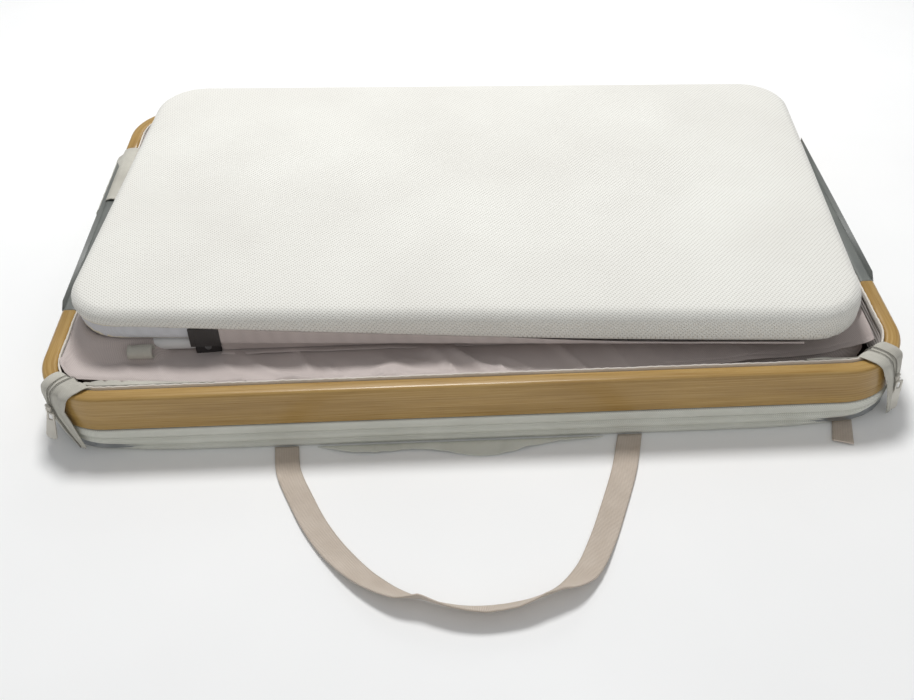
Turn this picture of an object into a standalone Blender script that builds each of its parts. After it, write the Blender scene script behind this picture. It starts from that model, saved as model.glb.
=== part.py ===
"""A portable bedside cot, folded flat, with its mattress laid on top.

Metres, +Z up. The origin is the middle of the base's underside, which rests on the floor.
+X runs along the length of the cot, and the carry handle lies in front of it, towards -Y.
"""

import math

import bmesh
import bpy
from mathutils import Vector

GAP = 0.0003  # between pieces that touch
CORNER_STEPS = 7
ARC_STEPS = 3

# The top rail: a wood-grain channel, open below, in two U-shaped halves joined by plastic hubs.
RAIL_LENGTH = 0.900
RAIL_DEPTH = 0.610
RAIL_CORNER = 0.071
RAIL_WIDTH = 0.0166
RAIL_HEIGHT = 0.0425
RAIL_WALL = 0.0019
RAIL_TOP_ROUND = 0.0042
RAIL_BOTTOM_ROUND = 0.0012
HUB_LENGTH = 0.312
HUB_INSET = 0.0004
HUB_WALL = 0.0030
SCREW_RADIUS = 0.0030
SCREW_HEIGHT = 0.0016
SCREW_FROM_HUB_END = 0.018

# The base: a fabric-covered tray round a steel hoop and a stiff board.
BASE_HEIGHT = 0.033
BASE_INSET = 0.0005
BASE_WALL = 0.0015
BASE_EDGE_ROUND = 0.004
HOOP_TOP_DROP = 0.0030
HOOP_LIFT = 0.0024
BOARD_THICKNESS = 0.005
BOARD_CLEARANCE = 0.001
RAIL_REST_GAP = 0.0015

# The folded liner, which fills the space between the base and the mattress platform.
LINER_THICKNESS = 0.0582
LINER_CLEARANCE = 0.006
LINER_CORNER = 0.050
LINER_CROWN = 0.008
LINER_FOOT_INSET = 0.004
LINER_HEAD_INSET = 0.008
LINER_TOP_INSET = 0.030

# The mattress platform: a steel tube frame with plastic couplers and a fabric sling.
TUBE_RADIUS = 0.008
PLATFORM_END_CLEARANCE = 0.007
PLATFORM_FRONT_ROOM = 0.0644
PLATFORM_REAR_ROOM = 0.0434
PLATFORM_CORNER = 0.037
COUPLER_LENGTH = 0.026
COUPLER_FROM_END = 0.1484
COUPLER_WALL = 0.0017
COUPLER_EDGE = 0.0022
HOOK_THICKNESS = 0.0022
HOOK_WIDTH = 0.032
HOOK_REACH = 0.0086  # from the coupler's front face to the hook's
HOOK_ROOM = 0.0008  # below the mesh that overhangs the hook
RIVET_RADIUS = 0.0036
RIVET_HEIGHT = 0.0012
SLING_THICKNESS = 0.0010
SLING_STEPS = 10  # round half a tube, fine enough for its facets to clear the tube

# The mattress, laid on the platform and turned a little.
MATTRESS_THICKNESS = 0.040
MATTRESS_TURN = math.radians(-3.3)
MATTRESS_CORNER = 0.060
MATTRESS_SIDE_ROOM = 0.0364
MATTRESS_CLEARANCE = 0.0060
MATTRESS_SHIFT = (0.0025, 0.001)
MATTRESS_REST_GAP = 0.0012
MATTRESS_TOP_ROUND = 0.011
MATTRESS_BOTTOM_ROUND = 0.006
COVER_THICKNESS = 0.0015
COVER_SPLIT = 0.0200
SHELL_INSET = 0.0040  # the underside, in from the mesh above it

# The scissor arms that lift the rail, folded flat inside its long sides.
ARM_LENGTH = 0.450
ARM_HEIGHT = 0.014
ARM_PIN_RADIUS = 0.0022
ARM_PIN_CLEARANCE = 0.0002
ARM_LIFT = 0.003  # above the rail's underside
BRACKET_THICKNESS = 0.0016
BRACKET_WIDTH = 0.020
STACK_END_GAP = 0.00075
STACK_GAP = 0.0004
TRACK_LENGTH = 0.150
TRACK_OVERRUN = 0.012

# Fabric pieces on the rail.
WALL_THICKNESS = 0.0025
TRIM_THICKNESS = 0.0020
TRIM_HEIGHT = 0.0092
TRIM_STANDS = 0.0015
STRIP_THICKNESS = 0.0012
STRIP_WIDTH = 0.036
STRIP_INNER_INSET = 0.0085
STRIP_FOLD = 0.0015
STRIP_OUTER_GAP = 0.0012
STRIP_TUCK = 0.0048  # the tucked end hangs this far below the liner's top
LEFT_STRIP_ANGLE = math.radians(46)  # from X, round the front corner
RIGHT_STRIP_ANGLE = math.radians(45)
LEFT_STRIP_END = 0.004  # above the floor
RIGHT_STRIP_END = 0.010
REAR_STRIP_WIDTH = 0.140
REAR_STRIP_FROM_BEND = 0.036
REAR_STRIP_END = 0.045
REAR_STRIP_BELLY = 0.012

# Zip sliders and pullers.
SLIDER_LENGTH = 0.010
SLIDER_WIDTH = 0.0085
SLIDER_THICKNESS = 0.0034
LEFT_SLIDER_Z = 0.044
RIGHT_SLIDER_Z = 0.042
PULLER_LENGTH = 0.040
PULLER_WIDTH = 0.013
PULLER_THICKNESS = 0.0018
PULLER_SLOT_LENGTH = 0.009
PULLER_SLOT_WIDTH = 0.0046
PULLER_GAP = 0.0006
PULLER_TOP = 0.0010  # above the pivot
PULLER_SHOULDER = 0.004  # below the pivot
CUT_OVERRUN = 0.001  # of a cutter past the faces it cuts

# Webbing on the floor in front of the base.
WEB_WIDTH = 0.025
WEB_THICKNESS = 0.0020
WEB_FLOOR_GAP = 0.0004
WEB_BASE_GAP = 0.0012
HANDLE_ROUTE = [
    (-0.197, 0.000),
    (-0.192, 0.036),
    (-0.177, 0.074),
    (-0.158, 0.114),
    (-0.134, 0.151),
    (-0.105, 0.184),
    (-0.070, 0.209),
    (-0.020, 0.224),
    (0.030, 0.222),
    (0.070, 0.208),
    (0.096, 0.180),
    (0.114, 0.144),
    (0.132, 0.098),
    (0.149, 0.050),
    (0.162, 0.000),
]
HANDLE_TILT = math.radians(42)
STUB_X = 0.387
STUB_LENGTH = 0.026
HEM_START = -0.165
HEM_END = 0.134
HEM_REACH = 0.024
HEM_THICKNESS = 0.003
TAB_FROM_COUPLER = 0.072
TAB_WIDTH = 0.026
TAB_LENGTH = 0.018
TAB_HEIGHT = 0.016
TAB_STRIP = 0.0014
TAB_FROM_TUBE = 0.001

# Heights and half sizes worked out from the sizes above.
HALF_LENGTH = RAIL_LENGTH / 2
HALF_DEPTH = RAIL_DEPTH / 2
RAIL_BOTTOM = BASE_HEIGHT + RAIL_REST_GAP
RAIL_TOP = RAIL_BOTTOM + RAIL_HEIGHT
BOARD_BOTTOM = BASE_WALL + GAP
BOARD_TOP = BOARD_BOTTOM + BOARD_THICKNESS
LINER_BOTTOM = BOARD_TOP + GAP
LINER_TOP = LINER_BOTTOM + LINER_THICKNESS
COUPLER_RADIUS = TUBE_RADIUS + GAP + COUPLER_WALL
PLATFORM_Z = LINER_TOP + GAP + COUPLER_RADIUS
MATTRESS_BOTTOM = PLATFORM_Z + COUPLER_RADIUS + MATTRESS_REST_GAP
PIN_Z = RAIL_BOTTOM + ARM_LIFT + ARM_HEIGHT / 2
CHANNEL_WIDTH = RAIL_WIDTH - 2 * RAIL_WALL
ARM_THICKNESS = (CHANNEL_WIDTH - 2 * BRACKET_THICKNESS - 2 * STACK_END_GAP - 3 * STACK_GAP) / 2
HOOP_OUTER = BASE_INSET + BASE_WALL + GAP
HOOP_INNER = RAIL_WIDTH - RAIL_WALL
FRONT_Y = -HALF_DEPTH


def clear_scene():
    for obj in list(bpy.data.objects):
        bpy.data.objects.remove(obj, do_unlink=True)


def material(name, colour, roughness, metallic=0.0):
    made = bpy.data.materials.get(name)
    if made is None:
        made = bpy.data.materials.new(name)
        made.use_nodes = True
        shader = made.node_tree.nodes["Principled BSDF"]
        shader.inputs["Base Color"].default_value = (*colour, 1.0)
        shader.inputs["Roughness"].default_value = roughness
        shader.inputs["Metallic"].default_value = metallic
    return made


def wood_grain():
    return material("wood_grain_rail", (0.42, 0.27, 0.12), 0.45)


def hub_plastic():
    return material("hub_plastic", (0.14, 0.15, 0.145), 0.5)


def sage_fabric():
    return material("sage_fabric", (0.42, 0.43, 0.37), 0.9)


def liner_fabric():
    return material("liner_fabric", (0.42, 0.36, 0.34), 0.85)


def mattress_mesh():
    return material("mattress_mesh", (0.82, 0.81, 0.78), 0.9)


def foam():
    return material("foam", (0.75, 0.72, 0.62), 0.95)


def webbing():
    return material("webbing", (0.42, 0.36, 0.31), 0.85)


def white_lacquer():
    return material("white_lacquer", (0.85, 0.85, 0.84), 0.25)


def black_plastic():
    return material("black_plastic", (0.03, 0.03, 0.03), 0.45)


def bare_steel():
    return material("bare_steel", (0.55, 0.55, 0.55), 0.35, 1.0)


def puller_plastic():
    return material("puller_plastic", (0.40, 0.37, 0.32), 0.5)


def fibre_board():
    return material("fibre_board", (0.30, 0.24, 0.17), 0.8)


def finish_mesh(name, bm, look, smooth=True):
    """Turns a bmesh into a named object with its faces pointing out."""
    bmesh.ops.recalc_face_normals(bm, faces=bm.faces)
    mesh = bpy.data.meshes.new(name)
    bm.to_mesh(mesh)
    bm.free()
    if smooth:
        mesh.shade_smooth()
        mesh.set_sharp_from_angle(angle=math.radians(35))
    obj = bpy.data.objects.new(name, mesh)
    bpy.context.scene.collection.objects.link(obj)
    obj.data.materials.append(look)
    return obj


def outline(half_x, half_y, radius):
    """Points and outward normals round a rectangle with round corners, anticlockwise from -X."""
    found = []
    for quarter, (side_x, side_y) in enumerate([(-1, -1), (1, -1), (1, 1), (-1, 1)]):
        for step in range(CORNER_STEPS + 1):
            angle = math.radians(180 + 90 * quarter + 90 * step / CORNER_STEPS)
            normal = Vector((math.cos(angle), math.sin(angle)))
            centre = Vector((side_x * (half_x - radius), side_y * (half_y - radius)))
            found.append((centre + radius * normal, normal))
    return found


def skin(bm, rings, closed_rings=True, closed_path=False):
    """Joins rings of points with quads, and caps the two ends of an open path."""
    made = [[bm.verts.new(point) for point in ring] for ring in rings]
    count = len(made[0])
    pairs = list(zip(made, made[1:]))
    if closed_path:
        pairs.append((made[-1], made[0]))
    for first, second in pairs:
        for i in range(count if closed_rings else count - 1):
            j = (i + 1) % count
            bm.faces.new((first[i], first[j], second[j], second[i]))
    if not closed_path:
        bm.faces.new(list(reversed(made[0])))
        bm.faces.new(made[-1])


def stacked(name, loops, look):
    """A solid through loops of (half_x, half_y, corner radius, z), capped at the first and the last."""
    bm = bmesh.new()
    rings = []
    for half_x, half_y, radius, z in loops:
        rings.append([(point.x, point.y, z) for point, _ in outline(half_x, half_y, radius)])
    skin(bm, rings)
    return finish_mesh(name, bm, look)


def swept(name, path, profile, look, closed=False):
    """A solid along a path of (point, outward normal), with a profile of (inset, z)."""
    bm = bmesh.new()
    rings = []
    for point, normal in path:
        ring = []
        for inset, z in profile:
            place = point - inset * normal
            ring.append((place.x, place.y, z))
        rings.append(ring)
    skin(bm, rings, closed_path=closed)
    return finish_mesh(name, bm, look)


def rectangle(inset_from, inset_to, z_from, z_to):
    return [(inset_from, z_from), (inset_from, z_to), (inset_to, z_to), (inset_to, z_from)]


def arc(centre, radius, start, end, steps=ARC_STEPS):
    """Points along an arc, from one angle in degrees to another."""
    found = []
    for step in range(steps + 1):
        angle = math.radians(start + (end - start) * step / steps)
        found.append((centre[0] + radius * math.cos(angle), centre[1] + radius * math.sin(angle)))
    return found


def rounded_top(width_from, width_to, bottom, top):
    """The outside of the rail's section, from its outer foot over the top to its inner foot."""
    foot = RAIL_BOTTOM_ROUND
    head = RAIL_TOP_ROUND
    points = arc((width_from + foot, bottom + foot), foot, 270, 180, 2)
    points += arc((width_from + head, top - head), head, 180, 90)
    points += arc((width_to - head, top - head), head, 90, 0)
    points += arc((width_to - foot, bottom + foot), foot, 0, -90, 2)
    return points


def channel_profile(inset, wall):
    """An upside-down U, so that the folded arms fit inside."""
    outside = rounded_top(inset, RAIL_WIDTH - inset, RAIL_BOTTOM, RAIL_TOP - inset)
    inner_from = inset + wall
    inner_to = RAIL_WIDTH - inset - wall
    ceiling = RAIL_TOP - inset - wall
    inside = [
        (inner_to, RAIL_BOTTOM),
        (inner_to, ceiling),
        (inner_from, ceiling),
        (inner_from, RAIL_BOTTOM),
    ]
    return outside + inside


def rail_outline():
    return outline(HALF_LENGTH, HALF_DEPTH, RAIL_CORNER)


def make_rails():
    """The two U-shaped wood-grain halves, and the hubs between them."""
    around = rail_outline()
    per_corner = CORNER_STEPS + 1
    left = Vector((-1, 0))
    right = Vector((1, 0))
    reach = HUB_LENGTH / 2
    front = [(Vector((-HALF_LENGTH, -reach)), left)]
    front += around[: 2 * per_corner]
    front.append((Vector((HALF_LENGTH, -reach)), right))
    rear = [(Vector((HALF_LENGTH, reach)), right)]
    rear += around[2 * per_corner :]
    rear.append((Vector((-HALF_LENGTH, reach)), left))
    wood = channel_profile(0.0, RAIL_WALL)
    swept("front_rail", front, wood, wood_grain())
    swept("rear_rail", rear, wood, wood_grain())
    hub = channel_profile(HUB_INSET, HUB_WALL)
    end = reach - GAP
    left_path = [(Vector((-HALF_LENGTH, end)), left), (Vector((-HALF_LENGTH, -end)), left)]
    right_path = [(Vector((HALF_LENGTH, -end)), right), (Vector((HALF_LENGTH, end)), right)]
    swept("left_hub", left_path, hub, hub_plastic())
    swept("right_hub", right_path, hub, hub_plastic())


def disc(name, place, axis, radius, height, look, crown=0.0):
    """A round head standing on a face: place is the middle of its foot."""
    bm = bmesh.new()
    sides = 14
    rings = []
    for share, z in [(1.0, 0.0), (1.0, height * 0.55), (0.72, height - crown * 0.3), (0.3, height)]:
        ring = []
        for i in range(sides):
            angle = 2 * math.pi * i / sides
            ring.append((radius * share * math.cos(angle), radius * share * math.sin(angle), z))
        rings.append(ring)
    skin(bm, rings)
    obj = finish_mesh(name, bm, look)
    obj.rotation_mode = "QUATERNION"
    obj.rotation_quaternion = Vector((0, 0, 1)).rotation_difference(Vector(axis))
    obj.location = place
    return obj


def make_hub_screws():
    """Two screws hold each hub to the rails, in its channel's ceiling, with their heads down."""
    ceiling = RAIL_TOP - HUB_INSET - HUB_WALL - GAP
    for side_name, side in [("left", -1), ("right", 1)]:
        for end_name, end in [("front", -1), ("rear", 1)]:
            x = side * (HALF_LENGTH - RAIL_WIDTH / 2)
            y = end * (HUB_LENGTH / 2 - SCREW_FROM_HUB_END)
            name = f"{side_name}_hub_screw_{end_name}"
            disc(name, (x, y, ceiling), (0, 0, -1), SCREW_RADIUS, SCREW_HEIGHT, bare_steel())


def make_rail_fabric():
    """The trim along the rail's inner edge, and the side wall gathered below it."""
    near = RAIL_WIDTH + GAP
    trim_bottom = RAIL_TOP + TRIM_STANDS - TRIM_HEIGHT
    trim = rectangle(near, near + TRIM_THICKNESS, trim_bottom, RAIL_TOP + TRIM_STANDS)
    wall = rectangle(near, near + WALL_THICKNESS, RAIL_BOTTOM + GAP, trim_bottom - GAP)
    swept("inner_trim", rail_outline(), trim, liner_fabric(), closed=True)
    swept("side_wall", rail_outline(), wall, sage_fabric(), closed=True)


def make_base():
    """The tray, its hoop and its board, under the rail."""
    half_x = HALF_LENGTH - BASE_INSET
    half_y = HALF_DEPTH - BASE_INSET
    corner = RAIL_CORNER - BASE_INSET
    edge = BASE_EDGE_ROUND
    loops = []
    for inset, z in [(edge, 0.0), (edge * 0.3, edge * 0.3), (0.0, edge), (0.0, BASE_HEIGHT)]:
        loops.append((half_x - inset, half_y - inset, corner - inset, z))
    for inset, z in [(BASE_WALL, BASE_HEIGHT), (BASE_WALL, edge), (edge + BASE_WALL, BASE_WALL)]:
        loops.append((half_x - inset, half_y - inset, corner - inset, z))
    stacked("base_cover", loops, sage_fabric())
    hoop = rectangle(HOOP_OUTER, HOOP_INNER, BASE_EDGE_ROUND + HOOP_LIFT, BASE_HEIGHT - HOOP_TOP_DROP)
    swept("base_hoop", rail_outline(), hoop, bare_steel(), closed=True)
    inset = HOOP_INNER + BOARD_CLEARANCE
    board = (HALF_LENGTH - inset, HALF_DEPTH - inset, RAIL_CORNER - inset)
    stacked("base_board", [(*board, BOARD_BOTTOM), (*board, BOARD_TOP)], fibre_board())


def make_liner():
    """The folded inner liner, a soft bundle with a crowned top."""
    half_x = HALF_LENGTH - RAIL_WIDTH - LINER_CLEARANCE
    half_y = HALF_DEPTH - RAIL_WIDTH - LINER_CLEARANCE
    loops = []
    for inset, z in [
        (LINER_FOOT_INSET, LINER_BOTTOM),
        (0.0, LINER_BOTTOM + LINER_CROWN),
        (0.0, LINER_TOP - LINER_CROWN),
        (LINER_HEAD_INSET, LINER_TOP - LINER_CROWN * 0.3),
        (LINER_TOP_INSET, LINER_TOP),
    ]:
        loops.append((half_x - inset, half_y - inset, LINER_CORNER - inset * 0.6, z))
    stacked("folded_liner", loops, liner_fabric())


def tube(name, points, look, radius=TUBE_RADIUS):
    """A round tube along a list of points, with filled ends."""
    curve = bpy.data.curves.new(name, "CURVE")
    curve.dimensions = "3D"
    curve.bevel_depth = radius
    curve.bevel_resolution = 3
    curve.use_fill_caps = True
    spline = curve.splines.new("POLY")
    spline.points.add(len(points) - 1)
    for slot, point in zip(spline.points, points):
        slot.co = (*point, 1.0)
    obj = bpy.data.objects.new(name, curve)
    bpy.context.scene.collection.objects.link(obj)
    obj.data.materials.append(look)
    return obj


def platform_frame():
    """Half length of the tube's centre line, its front and rear y, and the couplers' x."""
    half_x = HALF_LENGTH - RAIL_WIDTH - PLATFORM_END_CLEARANCE - TUBE_RADIUS
    front = -HALF_DEPTH + RAIL_WIDTH + PLATFORM_FRONT_ROOM + TUBE_RADIUS
    rear = HALF_DEPTH - RAIL_WIDTH - PLATFORM_REAR_ROOM - TUBE_RADIUS
    coupler = half_x + TUBE_RADIUS - COUPLER_FROM_END
    return half_x, front, rear, coupler


def make_platform_tubes():
    half_x, front, rear, coupler = platform_frame()
    round_by = PLATFORM_CORNER
    for side_name, side in [("left", -1), ("right", 1)]:
        centre_x = half_x - round_by
        corners = []
        for centre_y, start, end in [(front + round_by, 270, 360), (rear - round_by, 0, 90)]:
            for x, y in arc((centre_x, centre_y), round_by, start, end, 6):
                corners.append((side * x, y, PLATFORM_Z))
        first = (side * (coupler + GAP), front, PLATFORM_Z)
        last = (side * (coupler + GAP), rear, PLATFORM_Z)
        tube(f"platform_{side_name}_tube", [first, *corners, last], white_lacquer())
    for end_name, y in [("front", front), ("rear", rear)]:
        ends = [(-coupler + GAP, y, PLATFORM_Z), (coupler - GAP, y, PLATFORM_Z)]
        tube(f"platform_{end_name}_tube", ends, white_lacquer())


def cut(target, cutter, operation="DIFFERENCE"):
    """Cuts the target with a helper, or joins the helper to it."""
    cutter.hide_render = True
    cutter.display_type = "WIRE"
    modifier = target.modifiers.new(operation.lower(), "BOOLEAN")
    modifier.operation = operation
    modifier.solver = "EXACT"
    modifier.object = cutter


def rod(name, start, end, radius, look, sides=16):
    """A plain cylinder between two points."""
    bm = bmesh.new()
    bmesh.ops.create_cone(
        bm, cap_ends=True, segments=sides, radius1=radius, radius2=radius, depth=(end - start).length
    )
    obj = finish_mesh(name, bm, look)
    obj.rotation_mode = "QUATERNION"
    obj.rotation_quaternion = Vector((0, 0, 1)).rotation_difference(end - start)
    obj.location = (start + end) / 2
    return obj


def make_hook(middle):
    """The front left coupler's hook, which stands in front of the mattress's underside."""
    face = middle.y - COUPLER_RADIUS
    top = MATTRESS_BOTTOM + COVER_SPLIT - HOOK_ROOM
    shelf = middle.z + COUPLER_RADIUS
    front = face - HOOK_REACH
    back = front + HOOK_THICKNESS
    root = face + COUPLER_EDGE
    profile = [(root, shelf), (back, shelf), (back, top), (front, top), (front, shelf - HOOK_THICKNESS)]
    profile.append((root, shelf - HOOK_THICKNESS))
    bm = bmesh.new()
    half = HOOK_WIDTH / 2
    skin(bm, [[(middle.x + x, y, z) for y, z in profile] for x in (-half, half)])
    return finish_mesh("coupler_hook", bm, black_plastic())


def make_couplers():
    """Plastic couplers join the tubes, each with a rivet in its outer face. The one in sight has a hook."""
    _, front, rear, coupler = platform_frame()
    half = COUPLER_LENGTH / 2
    size = COUPLER_RADIUS
    for side_name, side in [("left", -1), ("right", 1)]:
        for end_name, y, out in [("front", front, -1), ("rear", rear, 1)]:
            name = f"coupler_{end_name}_{side_name}"
            bm = bmesh.new()
            rings = []
            for x in (-half, half):
                ring = []
                for corner, (cy, cz) in enumerate([(1, 1), (-1, 1), (-1, -1), (1, -1)]):
                    middle = (cy * (size - COUPLER_EDGE), cz * (size - COUPLER_EDGE))
                    for ry, rz in arc(middle, COUPLER_EDGE, 90 * corner, 90 * corner + 90, 2):
                        ring.append((x, ry, rz))
                rings.append(ring)
            skin(bm, rings)
            block = finish_mesh(name, bm, black_plastic())
            block.location = (side * coupler, y, PLATFORM_Z)
            reach = Vector((COUPLER_LENGTH, 0, 0))
            middle = Vector(block.location)
            bore = rod(f"{name}_bore", middle - reach, middle + reach, TUBE_RADIUS + GAP, black_plastic())
            cut(block, bore)
            if (side_name, end_name) == ("left", "front"):
                cut(block, make_hook(middle), "UNION")
            place = (side * coupler, y + out * (size + GAP), PLATFORM_Z)
            disc(f"{name}_rivet", place, (0, out, 0), RIVET_RADIUS, RIVET_HEIGHT, bare_steel())


def make_sling():
    """One sheet over the front and rear tubes, half wrapped round each."""
    _, front, rear, coupler = platform_frame()
    inner = TUBE_RADIUS + GAP
    outer = inner + SLING_THICKNESS
    outside = arc((front, PLATFORM_Z), outer, 270, 90, SLING_STEPS)
    outside += arc((rear, PLATFORM_Z), outer, 90, -90, SLING_STEPS)
    inside = arc((rear, PLATFORM_Z), inner, -90, 90, SLING_STEPS)
    inside += arc((front, PLATFORM_Z), inner, 90, 270, SLING_STEPS)
    reach = coupler - COUPLER_LENGTH / 2 - 2 * GAP
    bm = bmesh.new()
    rings = [[(x, y, z) for y, z in outside + inside] for x in (-reach, reach)]
    skin(bm, rings)
    finish_mesh("platform_sling", bm, liner_fabric())


def mattress_size():
    """Half length, half depth and corner radius that let the turned mattress pass inside the rail."""
    half_y = HALF_DEPTH - RAIL_WIDTH - MATTRESS_SIDE_ROOM
    turn = abs(MATTRESS_TURN)
    room = HALF_LENGTH - RAIL_WIDTH - MATTRESS_CLEARANCE - MATTRESS_CORNER
    half_x = (room - (half_y - MATTRESS_CORNER) * math.sin(turn)) / math.cos(turn) + MATTRESS_CORNER
    return half_x, half_y, MATTRESS_CORNER


def mattress_loops(steps):
    """Loops for steps of (inset, height above the mattress's underside)."""
    half_x, half_y, corner = mattress_size()
    found = []
    for inset, height in steps:
        found.append((half_x - inset, half_y - inset, corner - inset, MATTRESS_BOTTOM + height))
    return found


def make_mattress():
    """A foam core in two cover halves that meet at a seam near the underside."""
    top = MATTRESS_THICKNESS
    wall = COVER_THICKNESS
    head = MATTRESS_TOP_ROUND
    foot = MATTRESS_BOTTOM_ROUND
    crown = arc((head, top - head), head, 90, 180, 4)
    under_crown = arc((head, top - head), head - wall, 180, 90, 3)
    inset = SHELL_INSET
    lip = COVER_SPLIT + GAP
    hem = [(0.0, lip), (inset + wall, lip), (inset + wall, lip + wall), (wall, lip + wall)]
    upper = crown + hem + under_crown
    sole_middle = (foot + inset, foot)
    lower = arc(sole_middle, foot, 270, 180, 3)
    lower += [(inset, COVER_SPLIT), (inset + wall, COVER_SPLIT)]
    lower += arc(sole_middle, foot - wall, 180, 270, 2)
    inner = wall + GAP
    core = arc(sole_middle, foot - inner, 270, 180, 2)
    core += [(inset + inner, lip + inner), (inner, lip + inner)]
    core += arc((head, top - head), head - inner, 180, 90, 3)
    pieces = [
        stacked("mattress_top_cover", mattress_loops(upper), mattress_mesh()),
        stacked("mattress_bottom_cover", mattress_loops(lower), mattress_mesh()),
        stacked("mattress_core", mattress_loops(core), foam()),
    ]
    for piece in pieces:
        piece.rotation_euler = (0, 0, MATTRESS_TURN)
        piece.location = (*MATTRESS_SHIFT, 0)


def plate(name, points, y_from, y_to, look):
    """An outline in X and Z, given thickness along Y."""
    bm = bmesh.new()
    skin(bm, [[(x, y, z) for x, z in points] for y in (y_from, y_to)])
    return finish_mesh(name, bm, look)


def stadium(left, right, z, half_height):
    """A bar's outline with round ends about its two pins."""
    return arc((right, z), half_height, -90, 90, 8) + arc((left, z), half_height, 90, 270, 8)


def stack_layers():
    """Distances in from the rail's outer face: bracket, first arm, second arm, track."""
    bracket = RAIL_WALL + STACK_END_GAP
    first = bracket + BRACKET_THICKNESS + STACK_GAP
    second = first + ARM_THICKNESS + STACK_GAP
    track = second + ARM_THICKNESS + STACK_GAP
    return bracket, first, second, track


def make_scissors(side_name, side):
    """The crossed arms on one long side, with the bracket, track and rivet that they work on."""
    bracket, first, second, track = stack_layers()
    half = ARM_LENGTH / 2
    foot = BASE_HEIGHT - HOOP_TOP_DROP + GAP
    head = PIN_Z + ARM_HEIGHT / 2
    steel = bare_steel()
    lacquer = white_lacquer()

    def face(inset):
        return side * (HALF_DEPTH - inset)

    def pin(name, x, inset_from, inset_to, radius):
        start = Vector((x, face(inset_from), PIN_Z))
        return rod(name, start, Vector((x, face(inset_to), PIN_Z)), radius, steel)

    arm_outline = stadium(-half, half, PIN_Z, ARM_HEIGHT / 2)
    hole = ARM_PIN_RADIUS + ARM_PIN_CLEARANCE
    through = ARM_THICKNESS + STACK_GAP / 2
    outer = plate(f"{side_name}_outer_arm", arm_outline, face(first), face(first + ARM_THICKNESS), lacquer)
    cut(outer, pin(f"{side_name}_outer_arm_middle", 0, first - STACK_GAP / 2, first + through, hole))
    cut(outer, pin(f"{side_name}_outer_arm_foot", -half, first - STACK_GAP / 2, first + through, hole))
    inner = plate(f"{side_name}_inner_arm", arm_outline, face(second), face(second + ARM_THICKNESS), lacquer)
    cut(inner, pin(f"{side_name}_inner_arm_middle", 0, second - STACK_GAP / 2, second + through, hole))
    peg_end = track + BRACKET_THICKNESS
    peg = pin(f"{side_name}_inner_arm_peg", half, second + ARM_THICKNESS / 2, peg_end, ARM_PIN_RADIUS)
    cut(inner, peg, "UNION")
    pin(f"{side_name}_arm_rivet", 0, first - STACK_GAP / 2, second + ARM_THICKNESS, ARM_PIN_RADIUS)

    wide = BRACKET_WIDTH / 2
    bracket_points = [(-half - wide, foot), (-half + wide, foot)]
    bracket_points += arc((-half, PIN_Z), ARM_HEIGHT / 2, 0, 180, 6)
    base_bracket = plate(
        f"{side_name}_arm_bracket", bracket_points, face(bracket), face(bracket + BRACKET_THICKNESS), steel
    )
    stub_from = bracket + BRACKET_THICKNESS / 2
    stub = pin(f"{side_name}_bracket_stub", -half, stub_from, first + ARM_THICKNESS, ARM_PIN_RADIUS)
    cut(base_bracket, stub, "UNION")

    right = half + TRACK_OVERRUN
    left = right - TRACK_LENGTH
    rail = plate(
        f"{side_name}_arm_track",
        [(left, foot), (right, foot), (right, head), (left, head)],
        face(track),
        face(track + BRACKET_THICKNESS),
        steel,
    )
    slot = plate(
        f"{side_name}_track_slot",
        stadium(left + TRACK_OVERRUN, half, PIN_Z, hole),
        face(track - STACK_GAP / 2),
        face(track + BRACKET_THICKNESS + STACK_GAP / 2),
        steel,
    )
    cut(rail, slot)


def draped(name, place, out, width, drop_to, look, inner_inset=STRIP_INNER_INSET, belly=0.0):
    """A fabric strip over the rail: tucked down inside, across the top, and hanging outside.

    place is a point on the rail's outer face, out points away from the cot.
    """
    along = Vector((-out.y, out.x))
    thick = STRIP_THICKNESS
    inside = RAIL_WIDTH + inner_inset
    under = RAIL_TOP + TRIM_STANDS + GAP
    hang = -STRIP_OUTER_GAP
    middle = (under + drop_to) / 2
    lower = [
        (inside, LINER_TOP - STRIP_TUCK),
        (inside, under - STRIP_FOLD),
        (inside - STRIP_FOLD, under),
        (RAIL_TOP_ROUND, under),
        (hang, under - RAIL_TOP_ROUND),
        (hang - belly, middle),
        (hang, drop_to),
    ]
    upper = [
        (hang - thick, drop_to),
        (hang - belly - thick, middle),
        (hang - thick, under - RAIL_TOP_ROUND + thick / 2),
        (RAIL_TOP_ROUND, under + thick),
        (inside - STRIP_FOLD, under + thick),
        (inside + thick, under - STRIP_FOLD),
        (inside + thick, LINER_TOP - STRIP_TUCK),
    ]
    bm = bmesh.new()
    rings = []
    for shift in (-width / 2, width / 2):
        ring = []
        for inset, z in lower + upper:
            spot = place - inset * out + shift * along
            ring.append((spot.x, spot.y, z))
        rings.append(ring)
    skin(bm, rings)
    return finish_mesh(name, bm, look)


def corner_place(side_x, angle):
    """A point on the outer face of a front corner, and the way out there. angle turns from X towards the front."""
    out = Vector((side_x * math.cos(angle), -math.sin(angle)))
    centre = Vector((side_x * (HALF_LENGTH - RAIL_CORNER), -(HALF_DEPTH - RAIL_CORNER)))
    return centre + RAIL_CORNER * out, out


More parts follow.
